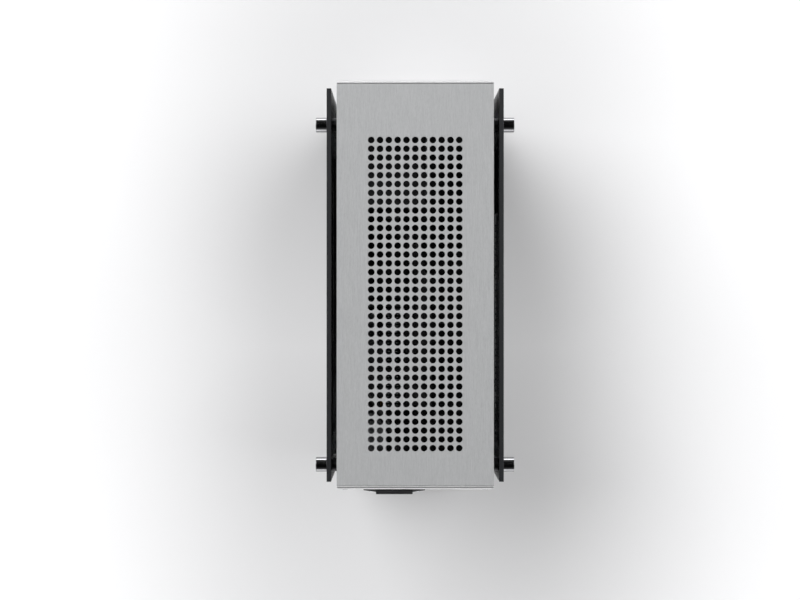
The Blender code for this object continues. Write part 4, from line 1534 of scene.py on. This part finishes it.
@dataclass
class Motherboard:
    """The board, its sockets, heatsinks, memory and the small parts strewn over it."""

    thickness: float = 0.0016
    seed: int = 7
    can_at: tuple[tuple[float, float], ...] = (
        (0.118, 0.168), (0.118, 0.178), (0.118, 0.188), (0.118, 0.198), (0.118, 0.208),
        (0.030, 0.060), (0.040, 0.060), (0.155, 0.080), (0.155, 0.090), (0.166, 0.220),
    )

    def build(self) -> None:
        """Builds the board from its plate up."""
        lo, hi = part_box("motherboard")
        face = hi.x - self.thickness
        corner = Vector((face, lo.y, lo.z))
        made = bmesh.new()
        block(made, (face, lo.y, lo.z), (hi.x, hi.y, hi.z), 0.0003)
        piece("board_plate", made, BOARD, stands_for=["motherboard"])
        self.sockets(corner)
        self.heatsinks(corner)
        self.small_parts(corner)
        self.cans(corner)
        self.memory()

    def on_board(
        self, made: Shape, corner: Vector, spot: Sequence[float], height: float, edge: float
    ) -> None:
        """Adds a block on the board's face.

        Args:
            made: the shape it is added to.
            corner: the board's face corner nearest the front and the floor.
            spot: its front, lower, rear and upper sides, measured from corner.
            height: how far it stands off the board.
            edge: rounding of its edges.
        """
        y0, z0, y1, z1 = spot
        block(
            made,
            (corner.x - height, corner.y + y0, corner.z + z0),
            (corner.x, corner.y + y1, corner.z + z1),
            edge,
        )

    def sockets(self, corner: Vector) -> None:
        """Plastic sockets: processor frame, memory, card, power and drive connectors.

        Args:
            corner: the board's face corner nearest the front and the floor.
        """
        made = bmesh.new()
        for y in (0.005, 0.0135):
            self.on_board(made, corner, (y - 0.003, 0.023, y + 0.003, 0.164), 0.0058, 0.0004)
            for z in (0.023, 0.159):
                self.on_board(made, corner, (y - 0.0028, z, y + 0.0028, z + 0.005), 0.011, 0.0006)
        self.on_board(made, corner, (0.059, 0.0052, 0.148, 0.0122), 0.0108, 0.0005)
        self.on_board(made, corner, (0.047, 0.157, 0.099, 0.167), 0.0118, 0.0006)
        for i in range(12):
            y = 0.0490 + i * 0.0042
            self.on_board(made, corner, (y, 0.1585, y + 0.0034, 0.1655), 0.0119, 0.0002)
        for y in (0.066, 0.088):
            self.on_board(made, corner, (y, 0.022, y + 0.018, 0.027), 0.0085, 0.0004)
        piece("board_sockets", made, PLASTIC)
        made = bmesh.new()
        y, z, half = 0.064, 0.096, 0.021
        for spot in (
            (y - half, z - half, y + half, z - half + 0.005), (y - half, z + half - 0.005, y + half, z + half),
            (y - half, z - half, y - half + 0.005, z + half), (y + half - 0.005, z - half, y + half, z + half),
        ):
            self.on_board(made, corner, spot, 0.0035, 0.0004)
        self.on_board(made, corner, (y - 0.016, z - 0.016, y + 0.016, z + 0.016), 0.0076, 0.0008)
        piece("processor_and_clamp", made, PLATED_SHEET)

    def heatsinks(self, corner: Vector) -> None:
        """Finned blocks over the regulators and the chipset.

        Args:
            corner: the board's face corner nearest the front and the floor.
        """
        for name, size, pitch, count, place, foot, foot_height in (
            (
                "regulator_fins", (0.0012, 0.024, 0.0165), 0.0029, 19, (-0.0115, 0.135, 0.1335),
                (0.123, 0.106, 0.147, 0.161), 0.004,
            ),
            (
                "chipset_fins", (0.0016, 0.034, 0.0060), 0.0036, 8, (-0.0058, 0.038, 0.032),
                (0.021, 0.019, 0.055, 0.045), 0.003,
            ),
        ):
            made = grid_repeat(FINS).run(
                bar(*size), {"Pitch X": pitch, "Pitch Y": 0.01, "Columns": count, "Rows": 1}
            )
            made.transform(turned(corner + Vector(place), -90, "Y"))
            self.on_board(made, corner, foot, foot_height, 0.0004)
            piece(name, made, FINS)

    def small_parts(self, corner: Vector) -> None:
        """Chips and tiny resistors strewn over the bare parts of the board.

        Args:
            corner: the board's face corner nearest the front and the floor.
        """
        for name, finish, least, most, apart, density, seed in (
            ("board_chips", CHIP, (2.5, 2.5, 0.8), (6.5, 5.5, 1.3), 0.011, 2600.0, self.seed),
            ("board_resistors", CAN, (0.7, 0.5, 0.35), (1.7, 0.9, 0.7), 0.0028, 60000.0, self.seed + 1),
        ):
            made = scatter_repeat(finish).run(
                bar(0.001, 0.001, 0.001),
                {
                    "Width": 0.162, "Depth": 0.162, "Density": density, "Apart": apart,
                    "Smallest": least, "Largest": most, "Seed": seed,
                },
            )
            made.transform(turned(corner + Vector((-0.0002, 0.085, 0.085)), -90, "Y"))
            piece(name, made, finish)

    def cans(self, corner: Vector) -> None:
        """Solid capacitors by the regulators, and the board's button cell.

        Args:
            corner: the board's face corner nearest the front and the floor.
        """
        made = bmesh.new()
        can = [
            (0, 0.008), (0.0024, 0.008), (0.0030, 0.0074), (0.0030, 0.0012), (0.0026, 0.0008),
            (0.0026, 0), (0, 0),
        ]
        for y, z in self.can_at:
            lathe(made, can, (corner.x, y - 0.003 + corner.y, z), Axis.NEG_X, 20)
        cell = [(0, 0.0045), (0.0094, 0.0045), (0.0100, 0.0040), (0.0100, 0.0008), (0, 0.0008)]
        lathe(made, cell, (corner.x, corner.y + 0.112, corner.z + 0.050), Axis.NEG_X, 40)
        piece("board_capacitors", made, CAN)

    def memory(self) -> None:
        """Two memory modules with heat spreaders, ribbed along their length."""
        for number in (1, 2):
            lo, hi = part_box(f"memory_module_{number}")
            made = bmesh.new()
            block(made, (lo.x + 0.002, lo.y, lo.z), (hi.x - 0.006, hi.y, hi.z), 0.0008)
            count = 9
            step = (hi.z - lo.z - 0.008) / count
            for i in range(count):
                z = lo.z + 0.004 + i * step
                block(made, (lo.x, lo.y + 0.0006, z), (lo.x + 0.004, hi.y - 0.0006, z + step * 0.72), 0.0005)
            piece(f"memory_spreader_{number}", made, SHROUD, stands_for=[f"memory_module_{number}"])
            made = bmesh.new()
            middle = (lo.y + hi.y) / 2
            block(
                made, (hi.x - 0.0065, middle - 0.0006, lo.z + 0.0005), (hi.x, middle + 0.0006, hi.z - 0.0005),
                0.0001,
            )
            piece(f"memory_board_{number}", made, BOARD)


# Processor cooler ------------------------------------------------------------------------------


@dataclass
class Cooler:
    """Tower heatsink on the processor: base, fins on heat pipes, and a fan in its frame."""

    fin_t: float = 0.0005
    fins: int = 36
    pipe_r: float = 0.003
    base: float = 0.004

    def build(self) -> None:
        """Builds heatsink, heat pipes, fan frame and wheel."""
        lo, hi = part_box("cpu_heatsink")
        base = self.base
        made = grid_repeat(FINS).run(
            self.fin(hi.x - lo.x - base - 0.004, hi.z - lo.z),
            {
                "Pitch X": 0.01, "Pitch Y": (hi.y - lo.y - 0.001) / (self.fins - 1),
                "Columns": 1, "Rows": self.fins,
            },
        )
        middle = (lo + hi) / 2
        centre_x = lo.x + (hi.x - lo.x - base - 0.004) / 2
        bmesh.ops.translate(made, vec=(centre_x, middle.y, middle.z), verts=made.verts)
        piece("cooler_fins", made, FINS, stands_for=["cpu_heatsink"])
        made = bmesh.new()
        half = 0.020
        foot = (hi.x - base, middle.y - half, middle.z - half)
        block(made, foot, (hi.x, middle.y + half, middle.z + half), 0.0006)
        for k in range(4):
            z = middle.z - 0.027 + 0.018 * k
            inner = middle.z - 0.0135 + 0.009 * k
            for sign in (-1, 1):
                y_out = middle.y + sign * 0.030
                route = smooth_route(
                    [
                        (hi.x - 0.003, middle.y + sign * 0.006, inner), (hi.x - 0.003, middle.y + sign * 0.016, inner),
                        (hi.x - 0.006, middle.y + sign * 0.026, (z + inner) / 2), (hi.x - 0.012, y_out, z),
                        (lo.x + 0.006, y_out, z), (lo.x + 0.001, y_out, z),
                    ],
                    5,
                )
                tube(made, route, self.pipe_r, 12)
        piece("cooler_base_and_pipes", made, CAN)
        self.frame()
        FanWheel("cpu_fan_rotor", "cpu_fan", Axis.NEG_X, 9).build()

    def fin(self, width: float, height: float) -> Shape:
        """One fin with a shallow wave pressed along its outer ends.

        Args:
            width: size along X.
            height: size along Z.

        Returns:
            The closed shape.
        """
        made = bmesh.new()
        half_t = self.fin_t / 2
        steps = 10
        xs = [width * (i / steps - 0.5) for i in range(steps + 1)]
        outline = [(x, -height / 2 + 0.0010 * (i % 2)) for i, x in enumerate(xs)]
        outline += [(x, height / 2 - 0.0010 * (i % 2)) for i, x in reversed(list(enumerate(xs)))]
        lower = [made.verts.new((x, -half_t, z)) for x, z in outline]
        upper = [made.verts.new((x, half_t, z)) for x, z in outline]
        made.faces.new(lower)
        made.faces.new(list(reversed(upper)))
        for i in range(len(outline)):
            j = (i + 1) % len(outline)
            made.faces.new((lower[j], lower[i], upper[i], upper[j]))
        bmesh.ops.recalc_face_normals(made, faces=made.faces)
        return made

    def frame(self) -> None:
        """The fan's square frame: round duct, open corners joined by flanges, motor seat and struts."""
        lo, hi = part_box("cpu_fan_frame")
        half = (hi.y - lo.y) / 2
        depth = hi.x - lo.x
        duct = half - 0.002
        made = bmesh.new()
        sides = 64
        angles = [math.tau * i / sides for i in range(sides)]
        levels = ((-depth / 2, 0.0006), (-depth / 2 + 0.004, 0.0), (depth / 2 - 0.004, 0.0), (depth / 2, 0.0006))
        rows = []
        for z, flare in levels:
            inner = [made.verts.new((x, y, z)) for x, y in circle(duct + flare, sides)]
            flanged = abs(z) == depth / 2
            outer = [made.verts.new((*self.outline(a, half, flanged), z)) for a in angles]
            rows.append((inner, outer))
        flange = 0.004
        for z in (-depth / 2 + flange - 0.0001, depth / 2 - flange + 0.0001):
            rows.append(([], [made.verts.new((*self.outline(a, half, True), z)) for a in angles]))
        outer_rows = [rows[0][1], rows[4][1], rows[1][1], rows[2][1], rows[5][1], rows[3][1]]
        inner_rows = [row[0] for row in rows[:4]]
        for stack in (inner_rows, outer_rows, rows[0], rows[3]):
            bridge(made, stack)
        bmesh.ops.recalc_face_normals(made, faces=made.faces)
        seat = depth / 2
        motor = [
            (0, seat - 0.0002), (0.0185, seat - 0.0002), (0.019, seat - 0.001), (0.019, seat - 0.003),
            (0, seat - 0.003),
        ]
        lathe(made, motor, (0, 0, 0), Axis.Z, 40)
        for k in range(4):
            turn = math.tau * k / 4 + 0.25
            strut = [
                (0.017 * math.cos(turn), 0.017 * math.sin(turn), seat - 0.0018),
                ((duct + 0.001) * math.cos(turn + 0.5), (duct + 0.001) * math.sin(turn + 0.5), seat - 0.0018),
            ]
            tube(made, strut, 0.0012, 8)
        made.transform(Matrix.Translation((lo + hi) / 2) @ Axis.X.turn())
        piece("cooler_fan_frame", made, PLASTIC, stands_for=["cpu_fan_frame"])

    def outline(self, angle: float, half: float, flanged: bool) -> tuple[float, float]:
        """A point of the frame's outer outline: square with cut corners at its flanges, rounder between.

        Args:
            angle: where it lies round the axis.
            half: half the frame's side.
            flanged: whether it lies on a flange.

        Returns:
            Its place across the axis.
        """
        c, s = math.cos(angle), math.sin(angle)
        square = half / max(abs(c), abs(s))
        cut = half * 1.36 if flanged else half * 1.02
        reach = min(square, cut)
        return (reach * c, reach * s)


# Graphics card ---------------------------------------------------------------------------------


@dataclass
class GraphicsCard:
    """The card: its board, a ribbed shroud, and two fans facing the floor."""

    rib_pitch: float = 0.006

    def build(self) -> None:
        """Builds board, shroud and fans."""
        self.board()
        self.shroud()
        for place in ("front", "rear"):
            FanWheel(f"graphics_fan_rotor_{place}", f"graphics_fan_{place}", Axis.NEG_Z, 11).build()

    def board(self) -> None:
        """The circuit board with its backplate, the ribs on the backplate and the edge contacts."""
        made = cad_shape("graphics_board")
        soften(made, 0.0002, 1)
        piece("card_board", made, BOARD, stands_for=["graphics_board"])
        lo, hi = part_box("graphics_board")
        top = lo.z + 0.0016
        plate_lo, plate_hi = (lo.x + 0.003, lo.y + 0.026, top), (hi.x - 0.012, hi.y - 0.006, top + 0.0012)
        made = bmesh.new()
        block(made, plate_lo, plate_hi, 0.0004)
        piece("card_backplate", made, BLACK_STEEL)
        made = grid_repeat(BLACK_STEEL).run(
            bar(0.040, 0.0018, 0.0008),
            {"Pitch X": 0.05, "Pitch Y": 0.006, "Columns": 1, "Rows": 28},
        )
        bmesh.ops.translate(made, vec=(-0.014, (lo.y + hi.y) / 2 + 0.01, top + 0.0014), verts=made.verts)
        piece("card_backplate_ribs", made, BLACK_STEEL)
        made = grid_repeat(GOLD).run(
            bar(0.005, 0.0007, 0.0001),
            {"Pitch X": 0.01, "Pitch Y": 0.001, "Columns": 1, "Rows": 82},
        )
        bmesh.ops.translate(made, vec=(hi.x - 0.0032, 0.1035, top + 0.00002), verts=made.verts)
        piece("card_edge_contacts", made, GOLD)

    def shroud(self) -> None:
        """The shroud with rounded edges, and ribs along both its sides."""
        made = cad_shape("graphics_cooler")
        soften(made, 0.0012, 2, 50.0)
        piece("card_shroud", made, SHROUD, stands_for=["graphics_cooler"])
        lo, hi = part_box("graphics_cooler")
        made = grid_repeat(SHROUD).run(
            bar(0.0014, 0.0016, 0.026),
            {"Pitch X": hi.x - lo.x + 0.0006, "Pitch Y": self.rib_pitch, "Columns": 2, "Rows": 38},
        )
        middle = (lo + hi) / 2
        bmesh.ops.translate(made, vec=middle, verts=made.verts)
        piece("card_side_ribs", made, SHROUD)


# Power supply ----------------------------------------------------------------------------------


@dataclass
class PowerSupply:
    """The supply's folded case, wire fan guard, fan and sockets for its leads."""

    wire_r: float = 0.0005
    rings: int = 6

    def build(self) -> None:
        """Builds the case and what is on it."""
        made = cad_shape("power_supply_case")
        soften(made, 0.0012, 2, 50.0)
        piece("supply_case", made, BLACK_STEEL, stands_for=["power_supply_case"])
        self.guard()
        self.sockets()
        FanWheel("power_supply_fan_rotor", "power_supply_fan", Axis.NEG_X, 9).build()

    def guard(self) -> None:
        """Concentric wire rings on four straight bars that run out to the corners."""
        lo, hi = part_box("power_supply_fan_guard")
        middle = (lo + hi) / 2
        x = middle.x
        reach = (hi.y - lo.y) / 2 - 0.003
        made = bmesh.new()
        for k in range(self.rings):
            r = 0.010 + (reach - 0.010) * k / (self.rings - 1)
            turns = circle(r, 48)
            ring = [(x, middle.y + y, middle.z + z) for y, z in (*turns, turns[0])]
            tube(made, ring, self.wire_r, 8)
        corner = reach + 0.001
        for turn in (0.25, 0.75, 1.25, 1.75):
            c, s = math.cos(turn * math.pi), math.sin(turn * math.pi)
            spoke = [(x, middle.y + r * c, middle.z + r * s) for r in (0.010, corner)]
            tube(made, spoke, self.wire_r, 8)
        piece("supply_fan_guard", made, CAN, stands_for=["power_supply_fan_guard"])

    def sockets(self) -> None:
        """Modular sockets on the rear face, each a block with a grid of square ways."""
        lo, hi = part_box("power_supply_case")
        made = bmesh.new()
        columns = 4
        for z in (0.1185, 0.1395, 0.160):
            far = (0.030 + columns * 0.0042 + 0.002, hi.y + 0.0012, z + 0.0105)
            block(made, (0.030, hi.y - 0.0005, z), far, 0.0004)
            for i in range(columns):
                for j in range(2):
                    x = 0.0315 + i * 0.0042
                    block(
                        made, (x, hi.y + 0.0008, z + 0.0012 + j * 0.0044),
                        (x + 0.0030, hi.y + 0.0018, z + 0.0042 + j * 0.0044), 0.0002,
                    )
        piece("supply_sockets", made, PLASTIC)


# Connections at the rear and the front ---------------------------------------------------------


@dataclass
class Connections:
    """Rear sockets, mains inlet fittings, card slot covers, front sockets and the power button."""

    def build(self) -> None:
        """Builds them from the rear to the front."""
        made = cad_shape("rear_ports")
        soften(made, 0.0002, 1, 60.0)
        piece("rear_sockets", made, PLATED_SHEET, stands_for=["rear_ports"])
        self.tongues()
        self.slot_covers()
        self.inlet_fittings()
        self.button()

    def tongues(self) -> None:
        """Contact tongues inside the rear and front sockets."""
        made = bmesh.new()
        _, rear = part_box("rear_ports")
        for x, z, tall in ((0.0197, 0.159, 0.0105), (0.0332, 0.159, 0.0105), (0.0366, 0.118, 0.0125)):
            block(made, (x - 0.0008, rear.y - 0.012, z - tall / 2), (x + 0.0008, rear.y - 0.003, z + tall / 2), 0.0002)
        lo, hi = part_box("front_ports")
        z = (lo.z + hi.z) / 2 + 0.0008
        for x in (-0.0095, 0.0095):
            block(made, (x - 0.0052, lo.y + 0.0015, z - 0.0008), (x + 0.0052, lo.y + 0.011, z + 0.0008), 0.0002)
        piece("socket_tongues", made, CHIP)
        made = bmesh.new()
        for x in (-0.0095, 0.0095):
            for k in range(4):
                at = x - 0.0039 + k * 0.0026
                block(made, (at - 0.0006, lo.y + 0.002, z - 0.0010), (at + 0.0006, lo.y + 0.010, z - 0.0007))
        for k in range(8):
            at = 0.1912 + k * 0.0010
            block(made, (0.0195, rear.y - 0.010, at), (0.0205, rear.y - 0.002, at + 0.0005))
        piece("socket_contacts", made, GOLD)

    def slot_covers(self) -> None:
        """Louvres pressed in three rows across the card's bracket."""
        lo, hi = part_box("graphics_bracket")
        made = bmesh.new()
        for k in range(7):
            x = lo.x + 0.008 + k * 0.012
            for z in (0.0475, 0.0510, 0.0545):
                block(made, (x, hi.y - 0.0001, z), (x + 0.008, hi.y + 0.0006, z + 0.0015), 0.0002)
        piece("card_slot_louvres", made, PLATED_SHEET)

    def inlet_fittings(self) -> None:
        """Screws through the flange's pointed ends, and the three pins."""
        lo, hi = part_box("mains_inlet")
        middle = (lo + hi) / 2
        _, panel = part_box("rear_panel")
        made = bmesh.new()
        for sign in (-1, 1):
            head = screw_head(0.0024, 0.0010)
            place = (middle.x + sign * 0.0205, panel.y + 0.0033, middle.z)
            head.transform(turned(place, -90, "X"))
            merge_in(made, head)
        piece("inlet_screws", made, BRIGHT_STEEL)
        made = bmesh.new()
        for dx, dz in ((-0.007, -0.002), (0.007, -0.002), (0.0, 0.002)):
            block(
                made, (middle.x + dx - 0.0012, hi.y - 0.016, middle.z + dz - 0.0022),
                (middle.x + dx + 0.0012, hi.y - 0.0025, middle.z + dz + 0.0022), 0.0003,
            )
        piece("inlet_pins", made, CAN)

    def button(self) -> None:
        """The power button: a dished cap with a fine ring, which moves with its body."""
        lo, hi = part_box("power_button")
        middle = (lo + hi) / 2
        cap_r, flange_r = 0.007, 0.009
        depth = hi.y - lo.y
        outline = [
            (0, -0.0004), (0.0045, -0.0002), (0.0052, -0.0001), (0.0053, -0.0004), (0.0056, -0.0004),
            (0.0057, 0), (cap_r - 0.0005, 0), (cap_r, -0.0005), (cap_r, -0.0028), (flange_r, -0.0028),
            (flange_r, -depth), (0, -depth),
        ]
        made = bmesh.new()
        lathe(made, outline, (middle.x, lo.y, middle.z), Axis.NEG_Y, 64)
        piece("power_button_cap", made, TURNED_ALUMINIUM, "power_button", ["power_button"])


# Leads inside, each held at both ends ----------------------------------------------------------


@dataclass(frozen=True)
class Lead:
    """A lead along a fixed route: a plain round jacket, or a bundle of thinner wires."""

    node: str
    route: tuple[tuple[float, float, float], ...]
    diameter: float
    wires: int
    finish: Finish
    shift: float = -0.0027  # the routes are drawn from the body's middle, which lies this far in front

    def build(self) -> None:
        """Lays the wires side by side along the smooth route."""
        path = [p + Vector((0, self.shift, 0)) for p in smooth_route(self.route, 7)]
        made = bmesh.new()
        spots = self.spots()
        radius = self.diameter / 2 if self.wires == 1 else self.wire_radius()
        for spot in spots:
            tube(made, path, radius, 16 if self.wires == 1 else 8, spot)
        piece(self.node + "_laid", made, self.finish, stands_for=[self.node])

    def wire_radius(self) -> float:
        """Radius of one wire of the bundle."""
        return self.diameter / 2 / (1 + 2 * self.shells())

    def shells(self) -> int:
        """How many rings of wires lie round the middle one."""
        return 1 if self.wires <= 7 else 2

    def spots(self) -> list[tuple[float, float]]:
        """Where each wire runs beside the route.

        Returns:
            How far across and up from the route each wire lies.
        """
        if self.wires == 1:
            return [(0.0, 0.0)]
        r = self.wire_radius() * 2
        found = [(0.0, 0.0)]
        for shell in range(1, self.shells() + 1):
            count = 6 * shell
            found += circle(r * shell, count)
        return found


@dataclass
class Leads:
    """The three leads inside and the plugs at their ends."""

    def build(self) -> None:
        """Lays each lead, then fits its plugs."""
        Lead(
            "mains_lead",
            (
                (0.0182, 0.1548, 0.260), (0.0182, 0.138, 0.260), (0.026, 0.118, 0.262), (0.040, 0.098, 0.263),
                (0.046, 0.076, 0.264), (0.047, 0.030, 0.264), (0.047, -0.040, 0.264), (0.046, -0.085, 0.258),
                (0.045, -0.112, 0.242), (0.044, -0.120, 0.225), (0.044, -0.120, 0.2096),
            ),
            0.007, 1, JACKET,
        ).build()
        Lead(
            "main_power_cable",
            (
                (0.0328, 0.076, 0.216), (0.022, 0.076, 0.216), (0.006, 0.069, 0.219), (-0.003, 0.045, 0.224),
                (-0.006, 0.010, 0.224), (-0.003, -0.025, 0.213), (0.008, -0.046, 0.196), (0.018, -0.056, 0.188),
                (0.020, -0.062, 0.187), (0.020, -0.0694, 0.187),
            ),
            0.010, 19, SLEEVE,
        ).build()
        Lead(
            "graphics_power_cable",
            (
                (-0.030, -0.050, 0.0742), (-0.030, -0.050, 0.086), (-0.028, -0.046, 0.102), (-0.018, -0.042, 0.116),
                (-0.004, -0.046, 0.124), (0.003, -0.056, 0.126), (0.004, -0.062, 0.126), (0.004, -0.0694, 0.126),
            ),
            0.007, 7, SLEEVE,
        ).build()
        self.plugs()

    def plugs(self) -> None:
        """Latched housings at the leads' ends."""
        made = bmesh.new()
        for lo, hi in (
            ((0.0255, 0.0478, 0.2115), (0.0332, 0.0988, 0.2205)),
            ((0.0140, -0.0722, 0.1800), (0.0260, -0.0640, 0.1940)),
            ((-0.0360, -0.0580, 0.0745), (-0.0240, -0.0474, 0.0800)),
            ((-0.0010, -0.0722, 0.1210), (0.0090, -0.0660, 0.1310)),
            ((0.0390, -0.1280, 0.2093), (0.0490, -0.1174, 0.2150)),
        ):
            block(made, lo, hi, 0.0006)
        piece("lead_plugs", made, PLASTIC)


# Building --------------------------------------------------------------------------------------


def main() -> None:
    """Loads the frame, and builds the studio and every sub-assembly in order."""
    logging.basicConfig(level=logging.INFO, format="%(name)s %(message)s")
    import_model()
    Studio().build(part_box("top_panel")[1].z)
    for part in (
        TopPanel, Panels, GlassSides, Feet, InnerFrame, Motherboard,
        Cooler, GraphicsCard, PowerSupply, Connections, Leads,
    ):
        part().build()


if __name__ == "__main__":
    main()
